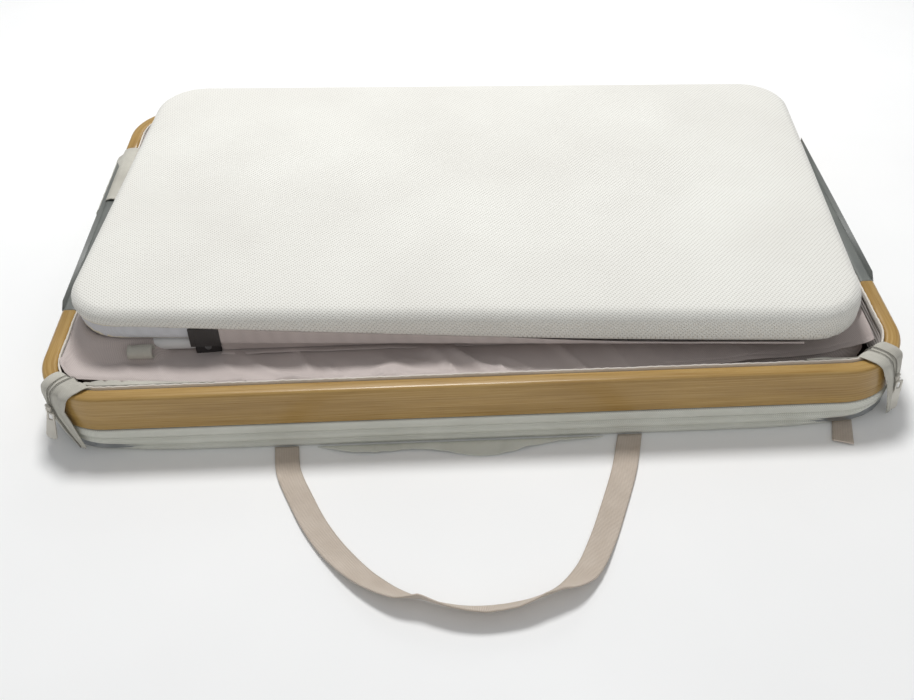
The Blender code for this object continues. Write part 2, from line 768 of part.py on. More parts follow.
def make_slider(name, place, out, z, look):
    """A zip slider: a wedge with a bridge, whose object stands on its own place."""
    inset = STRIP_OUTER_GAP + STRIP_THICKNESS + GAP
    half = SLIDER_WIDTH / 2
    points = [
        (-half * 0.6, 0.0),
        (half * 0.6, 0.0),
        (half, SLIDER_LENGTH * 0.55),
        (half * 0.8, SLIDER_LENGTH),
        (-half * 0.8, SLIDER_LENGTH),
        (-half, SLIDER_LENGTH * 0.55),
    ]
    bm = bmesh.new()
    skin(bm, [[(x, y, h) for x, h in points] for y in (0.0, -SLIDER_THICKNESS)])
    obj = finish_mesh(name, bm, look)
    spot = place + inset * out
    obj.location = (spot.x, spot.y, z)
    obj.rotation_euler = (0, 0, math.atan2(out.y, out.x) + math.pi / 2)
    return obj


def make_puller(name, place, out, z, look):
    """A flat puller with a slot near its top. It hangs from a pivot at z, just outside the slider."""
    inset = STRIP_OUTER_GAP + STRIP_THICKNESS + GAP + SLIDER_THICKNESS + PULLER_GAP
    half = PULLER_WIDTH / 2
    top = PULLER_TOP
    shape = arc((0, half - PULLER_LENGTH + top), half, 180, 360, 8)
    shoulder = -PULLER_SHOULDER
    shape += [(half * 0.8, shoulder), (half * 0.55, top), (-half * 0.55, top), (-half * 0.8, shoulder)]
    bm = bmesh.new()
    skin(bm, [[(x, y, h) for x, h in shape] for y in (0.0, -PULLER_THICKNESS)])
    obj = finish_mesh(name, bm, look)
    slot_bottom = -PULLER_SLOT_LENGTH
    slot_top = -PULLER_THICKNESS / 2
    slot_half = PULLER_SLOT_WIDTH / 2
    slot_points = [
        (-slot_half, slot_bottom),
        (slot_half, slot_bottom),
        (slot_half * 0.8, slot_top),
        (-slot_half * 0.8, slot_top),
    ]
    slot_mesh = bmesh.new()
    cut_depths = (CUT_OVERRUN, -PULLER_THICKNESS - CUT_OVERRUN)
    skin(slot_mesh, [[(x, y, h) for x, h in slot_points] for y in cut_depths])
    slot = finish_mesh(f"{name}_slot", slot_mesh, look)
    spot = place + inset * out
    for piece in (obj, slot):
        piece.location = (spot.x, spot.y, z)
        piece.rotation_euler = (0, 0, math.atan2(out.y, out.x) + math.pi / 2)
    cut(obj, slot)
    return obj


def make_zips():
    """Unzipped strips of the side wall hang over the rail: one over each front corner, one at the rear left."""
    for side_name, side_x, angle, drop_to, slider_z in [
        ("left", -1, LEFT_STRIP_ANGLE, LEFT_STRIP_END, LEFT_SLIDER_Z),
        ("right", 1, RIGHT_STRIP_ANGLE, RIGHT_STRIP_END, RIGHT_SLIDER_Z),
    ]:
        place, out = corner_place(side_x, angle)
        draped(f"zip_strip_front_{side_name}", place, out, STRIP_WIDTH, drop_to, sage_fabric())
        make_slider(f"zip_slider_{side_name}", place, out, slider_z, puller_plastic())
        make_puller(f"zip_puller_{side_name}", place, out, slider_z + SLIDER_LENGTH * 0.3, puller_plastic())
    straight_end = HALF_DEPTH - RAIL_CORNER
    place = Vector((-HALF_LENGTH, straight_end - REAR_STRIP_FROM_BEND - REAR_STRIP_WIDTH / 2))
    draped(
        "zip_strip_rear_left",
        place,
        Vector((-1, 0)),
        REAR_STRIP_WIDTH,
        REAR_STRIP_END,
        sage_fabric(),
        inner_inset=max(TRIM_THICKNESS, WALL_THICKNESS) + 3 * GAP + STRIP_FOLD,
        belly=REAR_STRIP_BELLY,
    )


def smooth_route(points, steps):
    """A Catmull-Rom curve through the points."""
    found = []
    padded = [2 * points[0] - points[1], *points, 2 * points[-1] - points[-2]]
    for a, b, c, d in zip(padded, padded[1:], padded[2:], padded[3:]):
        for step in range(steps):
            t = step / steps
            found.append(
                0.5 * (2 * b + (c - a) * t + (2 * a - 5 * b + 4 * c - d) * t * t + (3 * b - a - 3 * c + d) * t**3)
            )
    found.append(points[-1])
    return found


def make_handle():
    """A webbing loop that lies on the floor, flat at its ends, with its outer edge raised at the front."""
    start_y = FRONT_Y - WEB_BASE_GAP
    route = smooth_route([Vector((x, start_y - reach)) for x, reach in HANDLE_ROUTE], 2)
    far = max(start_y - point.y for point in route)
    bm = bmesh.new()
    rings = []
    for i, point in enumerate(route):
        before = route[max(i - 1, 0)]
        after = route[min(i + 1, len(route) - 1)]
        ahead = (after - before).normalized()
        outward = Vector((ahead.y, -ahead.x))
        if i in (0, len(route) - 1):
            outward = Vector((-1 if i == 0 else 1, 0))
        share = min(max(((start_y - point.y) / far - 0.35) / 0.55, 0), 1)
        tilt = HANDLE_TILT * share * share * (3 - 2 * share)
        across = Vector((outward.x * math.cos(tilt), outward.y * math.cos(tilt), math.sin(tilt)))
        up = Vector((-outward.x * math.sin(tilt), -outward.y * math.sin(tilt), math.cos(tilt)))
        low_edge = Vector((point.x, point.y, WEB_FLOOR_GAP)) - Vector((outward.x, outward.y, 0)) * WEB_WIDTH / 2
        ring = []
        for edge, rise in [(0, 0), (1, 0), (1, 1), (0, 1)]:
            spot = low_edge + across * WEB_WIDTH * edge + up * WEB_THICKNESS * rise
            ring.append(spot)
        rings.append(ring)
    skin(bm, rings)
    finish_mesh("carry_handle", bm, webbing(), smooth=False)


def extruded(name, points, z_from, z_to, look):
    """An outline in X and Y, given height."""
    bm = bmesh.new()
    skin(bm, [[(x, y, z) for x, y in points] for z in (z_from, z_to)])
    return finish_mesh(name, bm, look, smooth=False)


def make_floor_fabric():
    """The cut web end and the wavy hem that lie on the floor along the front."""
    near = FRONT_Y - WEB_BASE_GAP
    half = WEB_WIDTH / 2
    stub = [
        (STUB_X - half, near),
        (STUB_X + half, near),
        (STUB_X + half, near - STUB_LENGTH),
        (STUB_X - half, near - STUB_LENGTH * 0.8),
    ]
    extruded("web_stub", stub, WEB_FLOOR_GAP, WEB_FLOOR_GAP + WEB_THICKNESS, webbing())
    hem = [(HEM_START, near), (HEM_END, near)]
    steps = 16
    for step in range(1, steps):
        share = step / steps
        x = HEM_END + (HEM_START - HEM_END) * share
        wave = math.sin(math.pi * share) ** 0.7 * (0.75 + 0.25 * math.cos(4 * math.pi * (share - 0.4)))
        hem.append((x, near - HEM_REACH * wave))
    extruded("front_hem", hem, WEB_FLOOR_GAP, WEB_FLOOR_GAP + HEM_THICKNESS, sage_fabric())


def make_loop_tab():
    """A folded loop of tape that stands on the liner in front of the platform."""
    _, front, _, coupler = platform_frame()
    middle_x = -coupler - TAB_FROM_COUPLER
    middle_y = front - TUBE_RADIUS - TAB_FROM_TUBE - TAB_LENGTH / 2
    foot = LINER_TOP + GAP
    half = TAB_HEIGHT / 2
    straight = TAB_LENGTH / 2 - half
    centre_z = foot + half

    def ring(radius):
        front_half = arc((middle_y - straight, centre_z), radius, 90, 270, 5)
        rear_half = arc((middle_y + straight, centre_z), radius, -90, 90, 5)
        return front_half + rear_half

    bm = bmesh.new()
    rows = []
    for radius, x in [
        (half, middle_x - TAB_WIDTH / 2),
        (half, middle_x + TAB_WIDTH / 2),
        (half - TAB_STRIP, middle_x + TAB_WIDTH / 2),
        (half - TAB_STRIP, middle_x - TAB_WIDTH / 2),
    ]:
        rows.append([(x, y, z) for y, z in ring(radius)])
    skin(bm, rows, closed_path=True)
    finish_mesh("loop_tab", bm, sage_fabric())


def main():
    clear_scene()
    make_rails()
    make_hub_screws()
    make_rail_fabric()
    make_base()
    make_liner()
    make_platform_tubes()
    make_couplers()
    make_sling()
    make_mattress()
    make_scissors("front", -1)
    make_scissors("rear", 1)
    make_zips()
    make_handle()
    make_floor_fabric()
    make_loop_tab()


main()
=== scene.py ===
"""The looks of a portable bedside cot, folded flat with its mattress on top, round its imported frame.

Metres, +Z up. +X runs along the cot and -Y is its front, where the carry handle lies.
"""

import math

import bmesh
import bpy
import numpy as np
from mathutils import Matrix, Vector, noise


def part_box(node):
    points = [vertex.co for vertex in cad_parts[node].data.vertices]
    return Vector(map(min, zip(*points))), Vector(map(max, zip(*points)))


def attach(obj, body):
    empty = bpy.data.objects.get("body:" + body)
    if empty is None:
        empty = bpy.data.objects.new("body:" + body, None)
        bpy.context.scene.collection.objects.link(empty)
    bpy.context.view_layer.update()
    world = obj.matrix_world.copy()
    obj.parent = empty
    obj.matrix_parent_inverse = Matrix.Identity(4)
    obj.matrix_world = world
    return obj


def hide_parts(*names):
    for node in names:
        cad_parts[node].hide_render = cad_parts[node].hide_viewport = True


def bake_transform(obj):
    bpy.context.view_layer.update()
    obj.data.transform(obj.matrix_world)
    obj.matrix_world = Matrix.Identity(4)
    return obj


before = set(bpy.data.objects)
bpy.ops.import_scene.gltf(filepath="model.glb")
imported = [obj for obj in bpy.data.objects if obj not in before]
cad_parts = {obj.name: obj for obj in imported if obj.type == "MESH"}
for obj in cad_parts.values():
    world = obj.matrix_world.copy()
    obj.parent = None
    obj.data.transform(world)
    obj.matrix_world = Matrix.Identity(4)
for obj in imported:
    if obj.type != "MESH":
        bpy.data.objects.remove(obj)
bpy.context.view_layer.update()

# Where the CAD pieces are.
RAIL_LOW, RAIL_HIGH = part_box("front_rail")
HALF_X = RAIL_HIGH.x
HALF_Y = -RAIL_LOW.y
RAIL_BOTTOM = RAIL_LOW.z
RAIL_TOP = RAIL_HIGH.z
HUB_LOW, HUB_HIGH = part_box("left_hub")
BASE_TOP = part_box("base_cover")[1].z
LINER_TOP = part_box("folded_liner")[1].z
TUBE_LOW, TUBE_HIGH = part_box("platform_left_tube")
COUPLER_LOW, COUPLER_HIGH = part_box("coupler_front_left")
SLING_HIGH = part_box("platform_sling")[1]
PAD_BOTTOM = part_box("mattress_bottom_cover")[0].z
PAD_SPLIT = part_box("mattress_bottom_cover")[1].z
PAD_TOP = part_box("mattress_top_cover")[1].z

# The top rail.
CORNER = 0.071
RAIL_WIDTH = 0.0166
RAIL_WALL = 0.0019
RAIL_TOP_ROUND = 0.0042
RAIL_BOTTOM_ROUND = 0.0012
HUB_INSET = 0.0004
HUB_WALL = 0.0030
JOINT_GAP = 0.0003
BEND_STEPS = 16
CORE_X = HALF_X - CORNER
CORE_Y = HALF_Y - CORNER

# The mattress platform.
TUBE_RADIUS = 0.008
TUBE_BEND = 0.037
TUBE_Z = (TUBE_LOW.z + TUBE_HIGH.z) / 2
TUBE_FRONT = TUBE_LOW.y + TUBE_RADIUS
TUBE_REAR = TUBE_HIGH.y - TUBE_RADIUS
TUBE_END = -TUBE_LOW.x - TUBE_RADIUS
COUPLER_X = -(COUPLER_LOW.x + COUPLER_HIGH.x) / 2
HOOK_FRONT = COUPLER_LOW.y

# The mattress.
PAD_TURN = math.radians(-3.3)
PAD_SHIFT = Vector((0.0025, 0.001, 0.0))
PAD_HALF_X = 0.4175
PAD_HALF_Y = 0.2520
PAD_CORNER = 0.060
SHELL_INSET = 0.0040
TAB_LIFT = 0.005  # the tape loop stands on the liner's top layer
SEAM_SLOPE = 0.036  # the cover's seam sinks towards the right

# Webbing and fabric strips.
WEB_WIDTH = 0.025
WEB_THICKNESS = 0.0020
WEB_LIFT = 0.0004
WEB_START_Y = -HALF_Y - 0.0012
HANDLE_ROUTE = [
    (-0.197, 0.000), (-0.192, 0.036), (-0.177, 0.074), (-0.158, 0.114), (-0.134, 0.151),
    (-0.105, 0.184), (-0.070, 0.209), (-0.020, 0.224), (0.030, 0.222), (0.070, 0.208),
    (0.096, 0.180), (0.114, 0.144), (0.132, 0.098), (0.149, 0.050), (0.162, 0.000),
]  # fmt: skip
HANDLE_TILTS = [
    (-0.197, 0), (-0.140, 6), (-0.105, 24), (-0.078, 40), (-0.060, 62), (-0.034, 52), (0.000, 43),
    (0.030, 46), (0.055, 58), (0.071, 54), (0.080, 38), (0.094, 16), (0.120, 0), (0.162, 0),
]  # fmt: skip


# ---------------------------------------------------------------- materials


def colour(code):
    """A linear colour from an sRGB hex value."""
    parts = [int(code[i : i + 2], 16) / 255 for i in (1, 3, 5)]
    return (*[p / 12.92 if p <= 0.04045 else ((p + 0.055) / 1.055) ** 2.4 for p in parts], 1.0)


def add(tree, kind, sockets=None, **settings):
    """Adds a node. A socket's value is set, and another node's output is wired to it."""
    made = tree.nodes.new(kind)
    for name, value in settings.items():
        setattr(made, name, value)
    for name, value in (sockets or {}).items():
        if isinstance(value, bpy.types.NodeSocket):
            tree.links.new(value, made.inputs[name])
        else:
            made.inputs[name].default_value = value
    return made


def blank(name, **sockets):
    """A new material with its shader's own sockets set."""
    made = bpy.data.materials.new(name)
    made.use_nodes = True
    shader = made.node_tree.nodes["Principled BSDF"]
    for socket, value in sockets.items():
        shader.inputs[socket.replace("_", " ")].default_value = value
    return made, made.node_tree, shader


def ramp(tree, factor, stops):
    """A colour ramp of (place, hex colour)."""
    made = add(tree, "ShaderNodeValToRGB", {"Fac": factor})
    for i, (place, code) in enumerate(stops):
        stop = made.color_ramp.elements[i] if i < 2 else made.color_ramp.elements.new(place)
        stop.position = place
        stop.color = colour(code)
    return made.outputs["Color"]


def mixed(tree, factor, first, second, blend="MIX"):
    made = add(tree, "ShaderNodeMix", data_type="RGBA", blend_type=blend)
    for index, value in [(0, factor), (6, first), (7, second)]:
        if isinstance(value, bpy.types.NodeSocket):
            tree.links.new(value, made.inputs[index])
        else:
            made.inputs[index].default_value = value
    return made.outputs[2]


def bumped(tree, shader, *layers):
    """Wires bumps of (height socket, distance in metres) to the shader, one on another."""
    below = None
    for height, distance in layers:
        sockets = {"Height": height, "Distance": distance, "Strength": 1.0}
        if below is not None:
            sockets["Normal"] = below
        below = add(tree, "ShaderNodeBump", sockets).outputs["Normal"]
    tree.links.new(below, shader.inputs["Normal"])


def placed(tree, uv, scale, turn=0.0):
    """Object coordinates, or the piece's own map, scaled and turned about Z."""
    if uv:
        source = add(tree, "ShaderNodeUVMap", uv_map="Lay").outputs["UV"]
    else:
        source = add(tree, "ShaderNodeTexCoord").outputs["Object"]
    sockets = {"Vector": source, "Scale": scale, "Rotation": (0.0, 0.0, turn)}
    return add(tree, "ShaderNodeMapping", sockets).outputs["Vector"]


def speckle(tree, place, scale, detail=3.0, rough=0.55):
    sockets = {"Vector": place, "Scale": scale, "Detail": detail, "Roughness": rough}
    return add(tree, "ShaderNodeTexNoise", sockets).outputs["Fac"]


def stripes(tree, place, pitch, direction="X", wobble=0.0):
    """Soft stripes with a pitch in metres. Blender's wave has 10 / pi of them to a unit."""
    sockets = {"Vector": place, "Scale": math.pi / 10 / pitch, "Distortion": wobble}
    return add(
        tree, "ShaderNodeTexWave", sockets, bands_direction=direction, wave_profile="SIN"
    ).outputs["Fac"]


def maths(tree, operation, first, second):
    made = add(tree, "ShaderNodeMath", operation=operation)
    for index, value in enumerate((first, second)):
        if isinstance(value, bpy.types.NodeSocket):
            tree.links.new(value, made.inputs[index])
        else:
            made.inputs[index].default_value = value
    return made.outputs[0]


def oak_film():
    """Printed oak film on a channel: long fine grain that follows the rail, with a satin gloss."""
    made, tree, shader = blank("oak_film", Roughness=0.36, IOR=1.5)
    grain = speckle(tree, placed(tree, True, (9.0, 620.0, 1.0)), 1.0, 5.0, 0.62)  # 1.6 mm wide
    cloud = speckle(tree, placed(tree, True, (5.0, 60.0, 1.0)), 1.0, 2.0)  # 17 mm wide bands
    pores = speckle(tree, placed(tree, True, (40.0, 2200.0, 1.0)), 1.0, 2.0)  # 0.45 mm wide
    base = ramp(tree, grain, [(0.30, "#a07c41"), (0.50, "#b18f52"), (0.70, "#bf9f66")])
    tone = ramp(tree, cloud, [(0.3, "#e6e2da"), (0.7, "#ffffff")])
    base = mixed(tree, 1.0, base, tone, "MULTIPLY")
    dark = ramp(tree, pores, [(0.60, "#ffffff"), (0.72, "#c9b493")])
    tree.links.new(mixed(tree, 0.5, base, dark, "MULTIPLY"), shader.inputs["Base Color"])
    gloss = maths(tree, "MULTIPLY_ADD", grain, 0.16)
    gloss.node.inputs[2].default_value = 0.22
    tree.links.new(gloss, shader.inputs["Roughness"])
    bumped(tree, shader, (grain, 0.00006), (pores, 0.00003))
    return made


def moulded(name, code, dark_code, roughness, grain_mm=0.8):
    """Injection-moulded plastic: even colour with a fine spark-eroded grain that softens its gloss."""
    made, tree, shader = blank(name, Roughness=roughness, IOR=1.46)
    place = placed(tree, False, (1.0, 1.0, 1.0))
    fine = speckle(tree, place, 1000 / grain_mm, 2.0)
    broad = speckle(tree, place, 28.0, 3.0)
    tree.links.new(ramp(tree, broad, [(0.35, dark_code), (0.65, code)]), shader.inputs["Base Color"])
    bumped(tree, shader, (fine, 0.00008))
    return made


def woven(name, code, dark_code, thread, uv=False, depth=0.00012, mottle=14.0, sheen=0.15):
    """Plain-woven polyester: crossing threads, drawn a little coarser than life, a faint sheen and mottle."""
    made, tree, shader = blank(name, Roughness=0.88, Sheen_Weight=sheen, Sheen_Roughness=0.5)
    place = placed(tree, uv, (1.0, 1.0, 1.0))
    if uv:
        warp = stripes(tree, place, thread, "X", 0.3)
        weft = stripes(tree, place, thread, "Y", 0.3)
        weave = maths(tree, "MULTIPLY", warp, weft)
    else:
        weave = maths(tree, "MULTIPLY", stripes(tree, place, thread, "DIAGONAL", 0.4),
                      stripes(tree, placed(tree, False, (1.0, -1.0, 1.0)), thread, "DIAGONAL", 0.4))
    broad = speckle(tree, place, mottle, 4.0, 0.6)
    tone = ramp(tree, broad, [(0.30, dark_code), (0.62, code)])
    shade = ramp(tree, weave, [(0.0, "#d9d9d9"), (0.5, "#ffffff")])
    tree.links.new(mixed(tree, 0.7, tone, shade, "MULTIPLY"), shader.inputs["Base Color"])
    bumped(tree, shader, (broad, 0.0006), (weave, depth))
    return made


def spacer_mesh():
    """Knitted spacer mesh: rows of small eyelets on the diagonal, soft and matt."""
    pitch = 0.0037
    made, tree, shader = blank("knitted_spacer_mesh", Roughness=0.92, Sheen_Weight=0.2)
    place = placed(tree, True, (1.0, 1.0, 1.0), math.radians(38))
    across = stripes(tree, place, pitch, "X", 0.15)
    along = stripes(tree, place, pitch * 0.8, "Y", 0.15)
    eyelets = maths(tree, "MULTIPLY", across, along)
    broad = speckle(tree, placed(tree, True, (1.0, 1.0, 1.0)), 5.0, 3.0)
    tone = ramp(tree, broad, [(0.3, "#dfddd6"), (0.7, "#e8e7e0")])
    # painted shade: each eyelet is darkened where its hole sinks in
    hole = ramp(tree, eyelets, [(0.42, "#ffffff"), (0.80, "#d0cdc9")])
    tree.links.new(mixed(tree, 0.85, tone, hole, "MULTIPLY"), shader.inputs["Base Color"])
    sunk = maths(tree, "MULTIPLY", eyelets, -1.0)
    bumped(tree, shader, (sunk, 0.0003))
    return made


def ribbed_webbing():
    """Woven polypropylene webbing: fine cross ribs over lengthwise cords, with a dull sheen."""
    made, tree, shader = blank("polypropylene_webbing", Roughness=0.72, Sheen_Weight=0.2)
    place = placed(tree, True, (1.0, 1.0, 1.0))
    ribs = stripes(tree, place, 0.0016, "X", 0.25)  # 1.6 mm ribs across the strap
    cords = stripes(tree, place, 0.0026, "Y", 0.1)
    weave = maths(tree, "MULTIPLY", ribs, maths(tree, "MULTIPLY_ADD", cords, 0.4))
    weave.node.inputs[1].links[0].from_node.inputs[2].default_value = 0.6
    broad = speckle(tree, place, 30.0)
    tone = ramp(tree, broad, [(0.3, "#cdbfb0"), (0.7, "#dccfc1")])
    shade = ramp(tree, weave, [(0.05, "#cfcbc5"), (0.6, "#ffffff")])
    tree.links.new(mixed(tree, 0.9, tone, shade, "MULTIPLY"), shader.inputs["Base Color"])
    bumped(tree, shader, (weave, 0.0004))
    return made


def powder_coat():
    """White powder-coated steel: a bright, wet-looking gloss with slight orange peel."""
    made, tree, shader = blank("white_powder_coat", Roughness=0.16, IOR=1.5, Coat_Weight=0.4)
    place = placed(tree, False, (1.0, 1.0, 1.0))
    peel = speckle(tree, place, 420.0, 1.0)  # 2.4 mm waves
    broad = speckle(tree, place, 9.0)
    tree.links.new(ramp(tree, broad, [(0.3, "#dedddb"), (0.7, "#e9e8e6")]), shader.inputs["Base Color"])
    bumped(tree, shader, (peel, 0.00002))
    return made


def zinc_steel():
    """Zinc-plated steel: cool grey with faint rolled streaks and a soft shine."""
    made, tree, shader = blank("zinc_plated_steel", Metallic=1.0, Roughness=0.34)
    streak = speckle(tree, placed(tree, False, (30.0, 400.0, 400.0)), 1.0, 3.0)
    tree.links.new(ramp(tree, streak, [(0.3, "#8d9093"), (0.7, "#b3b5b6")]), shader.inputs["Base Color"])
    gloss = maths(tree, "MULTIPLY_ADD", streak, 0.25)
    gloss.node.inputs[2].default_value = 0.22
    tree.links.new(gloss, shader.inputs["Roughness"])
    bumped(tree, shader, (streak, 0.00002))
    return made


def fibre_board():
    """Pressed fibre board: brown, fuzzy and matt, with darker flecks."""
    made, tree, shader = blank("pressed_fibre_board", Roughness=0.85)
    place = placed(tree, False, (1.0, 1.0, 1.0))
    fleck = speckle(tree, place, 600.0, 4.0)
    tree.links.new(ramp(tree, fleck, [(0.35, "#6d5338"), (0.7, "#957651")]), shader.inputs["Base Color"])
    bumped(tree, shader, (fleck, 0.0002))
    return made


def open_foam():
    """Cut polyurethane foam: pale and dull, with open cells."""
    made, tree, shader = blank("polyurethane_foam", Roughness=0.95)
    cells = add(tree, "ShaderNodeTexVoronoi",
                {"Vector": placed(tree, False, (1.0, 1.0, 1.0)), "Scale": 700.0}).outputs["Distance"]
    # painted shade: each cell is darker towards its middle, where the bump sinks it
    tree.links.new(ramp(tree, cells, [(0.0, "#cfc6ac"), (0.7, "#e6dfc9")]), shader.inputs["Base Color"])
    bumped(tree, shader, (cells, 0.0004))
    return made


OAK = oak_film()
HUB_PLASTIC = moulded("grey_polypropylene", "#70736f", "#686b68", 0.42)
BLACK_NYLON = moulded("black_nylon", "#3a3736", "#302d2c", 0.42)
PULL_RUBBER = moulded("soft_pull_rubber", "#d8d4ca", "#ccc7bc", 0.5)
SAGE = woven("sage_polyester_canvas", "#e9e9de", "#dcdcd0", 0.0011)
SAGE_STRIP = woven("sage_polyester_tape", "#d0cdc1", "#b9b5aa", 0.0011, uv=True)
ZIP_COIL = woven("nylon_zip_coil", "#a09c91", "#8e897d", 0.0009, uv=True, depth=0.0003)
LINING = woven("taupe_polyester_lining", "#d3c7c2", "#c4b8b3", 0.0010, mottle=9.0, depth=0.00008)
WALL_LINING = woven("pale_wall_lining", "#dfd7d1", "#d2c9c2", 0.0010, mottle=9.0)
TRIM = woven("pale_binding_tape", "#efe8dd", "#e4dbd0", 0.0010, uv=True)
PAD_MESH = spacer_mesh()
PAD_SHELL = woven("smooth_pad_cover", "#dcdde1", "#d3d4d8", 0.0009, depth=0.00003, sheen=0.3)
WEBBING = ribbed_webbing()
POWDER_COAT = powder_coat()
ZINC = zinc_steel()
BOARD = fibre_board()
FOAM = open_foam()


# ---------------------------------------------------------------- modelling by hand


def fresh():
    """Leaves edit mode with nothing selected."""
    if bpy.context.object is not None and bpy.context.object.mode != "OBJECT":
        bpy.ops.object.mode_set(mode="OBJECT")
    bpy.ops.object.select_all(action="DESELECT")


def take(obj, *others):
    """Selects these objects and no more, and makes the first one active."""
    fresh()
    for piece in (obj, *others):
        piece.select_set(True)
    bpy.context.view_layer.objects.active = obj


def join_to(obj, *others):
    take(obj, *others)
    bpy.ops.object.join()


def edit_all(obj):
    """Opens the object in edit mode with all of it selected."""
    take(obj)
    bpy.ops.object.mode_set(mode="EDIT")
    bpy.ops.mesh.select_all(action="SELECT")


def start_block(size, place=(0, 0, 0)):
    """A block of this size, left in edit mode."""
    fresh()
    bpy.ops.mesh.primitive_cube_add(size=1.0, location=place, enter_editmode=True)
    bpy.ops.transform.resize(value=size)


def start_ring(x, y, z, radius):
    """A ring that faces along X, left in edit mode, to be run out into a tube."""
    fresh()
    bpy.ops.mesh.primitive_circle_add(vertices=28, radius=radius, location=(x, y, z), rotation=(0, math.pi / 2, 0),
                                      enter_editmode=True)


def soften(width, segments):
    """Rounds every edge of the piece in hand."""
    pick(lambda at, _: True, "EDGE")
    bpy.ops.mesh.bevel(offset=width, segments=segments, affect="EDGES")


def slice_across(axis, places, shift=0.0):
    """Cuts new edges across the piece in hand at these places along an axis, 0 for X and 2 for Z."""
    for place in places:
        at, facing = [0.0, 0.0, 0.0], [0, 0, 0]
        at[axis], facing[axis] = shift + place, 1
        bpy.ops.mesh.select_all(action="SELECT")
        bpy.ops.mesh.bisect(plane_co=at, plane_no=facing)


def pick(test, kind="FACE"):
    """In edit mode, selects only the points, edges or faces whose middle passes the test."""
    obj = bpy.context.object
    bpy.ops.mesh.select_mode(type=kind)
    bpy.ops.mesh.select_all(action="DESELECT")
    shape = bmesh.from_edit_mesh(obj.data)
    items = {"VERT": shape.verts, "EDGE": shape.edges, "FACE": shape.faces}[kind]
    for item in items:
        if kind == "VERT":
            middle, normal = item.co, item.normal
        elif kind == "EDGE":
            middle, normal = (item.verts[0].co + item.verts[1].co) / 2, None
        else:
            middle, normal = item.calc_center_median(), item.normal
        if test(obj.matrix_world @ middle, normal):
            item.select_set(True)
    shape.select_flush_mode()
    bmesh.update_edit_mesh(obj.data)


def follow(legs):
    """Runs the selected section along straight legs (x, y, z) and round bends ((x, y), angle)."""
    for leg in legs:
        if len(leg) == 3:
            bpy.ops.mesh.extrude_region_move(TRANSFORM_OT_translate={"value": leg})
        else:
            (x, y), angle = leg
            bpy.ops.mesh.spin(steps=BEND_STEPS, angle=angle, center=(x, y, 0.0), axis=(0.0, 0.0, -1.0))


def done(name, look, smooth=30.0, holes=False):
    """Closes the shape in hand, points its faces out, and names it."""
    obj = bpy.context.object
    if obj.mode != "EDIT":
        bpy.ops.object.mode_set(mode="EDIT")
    bpy.ops.mesh.select_mode(type="VERT")
    bpy.ops.mesh.select_all(action="SELECT")
    bpy.ops.mesh.remove_doubles(threshold=0.00001)
    if holes:
        bpy.ops.mesh.fill_holes(sides=0)
    bpy.ops.mesh.normals_make_consistent(inside=False)
    bpy.ops.object.mode_set(mode="OBJECT")
    bpy.ops.object.transform_apply(location=True, rotation=True, scale=True)
    top = max(obj.data.polygons, key=lambda face: face.center.z)
    if top.normal.z < -0.5:
        obj.data.flip_normals()
    obj.name = obj.data.name = name
    obj.data.materials.clear()
    obj.data.materials.append(look)
    bpy.ops.object.shade_smooth_by_angle(angle=math.radians(smooth))
    return obj


def finish_with(obj, kind, **settings):
    """Adds a modifier and applies it."""
    take(obj)
    modifier = obj.modifiers.new(kind.lower(), kind)
    for key, value in settings.items():
        setattr(modifier, key, value)
    bpy.ops.object.modifier_apply(modifier=modifier.name)
    return obj


def copied(obj, name, matrix):
    """A copy with its own mesh, moved by a matrix, with its faces still pointing out."""
    made = obj.copy()
    made.data = obj.data.copy()
    made.name = made.data.name = name
    made.data.transform(matrix)
    if matrix.determinant() < 0:
        made.data.flip_normals()
    bpy.context.scene.collection.objects.link(made)
    return made


def settle(obj, body, nodes):
    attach(obj, body)
    if nodes:
        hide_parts(*nodes)
    return obj


# ---------------------------------------------------------------- maps that follow the cloth and the rail


def around(x, y):
    """Distance round the rail's outline, anticlockwise from the middle of its left side, and distance in."""
    near_x = np.clip(x, -CORE_X, CORE_X)
    near_y = np.clip(y, -CORE_Y, CORE_Y)
    turn = np.arctan2(y - near_y, x - near_x) % (2 * np.pi)
    turn = np.where(turn < np.pi - 1e-6, turn + 2 * np.pi, turn)
    turn = np.where((np.abs(turn - np.pi) < 1e-6) & (y > 0), 3 * np.pi, turn)
    side = np.clip(np.floor((turn - np.pi) / (np.pi / 2) + 1e-6), 0, 4).astype(int)
    gone = np.choose(side, [
        -near_y,
        CORE_Y + CORE_X + near_x,
        2 * CORE_Y + 2 * CORE_X + near_y,
        3 * CORE_Y + 3 * CORE_X - near_x,
        4 * CORE_Y + 4 * CORE_X - near_y,
    ])  # fmt: skip
    return gone + CORNER * (turn - np.pi), CORNER - np.hypot(x - near_x, y - near_y)


RING_LENGTH = 4 * (CORE_X + CORE_Y) + 2 * math.pi * CORNER


def positions(obj):
    found = np.empty(len(obj.data.vertices) * 3)
    obj.data.vertices.foreach_get("co", found)
    return found.reshape(-1, 3)


def lay_map(obj, u, v, loop_length=None):
    """A map from a value for each point. On a ring, faces across its start keep whole."""
    mesh = obj.data
    corner = np.empty(len(mesh.loops), int)
    mesh.loops.foreach_get("vertex_index", corner)
    run, across = u[corner].copy(), v[corner]
    if loop_length:
        starts = np.empty(len(mesh.polygons), int)
        sizes = np.empty(len(mesh.polygons), int)
        mesh.polygons.foreach_get("loop_start", starts)
        mesh.polygons.foreach_get("loop_total", sizes)
        order = np.argsort(starts)
        most = np.empty(len(starts))
        most[order] = np.maximum.reduceat(run, starts[order])
        whole = np.repeat(most[order], sizes[order])
        run = np.where(whole - run > loop_length / 2, run + loop_length, run)
    layer = mesh.uv_layers.new(name="Lay")
    layer.data.foreach_set("uv", np.stack([run, across], 1).ravel())


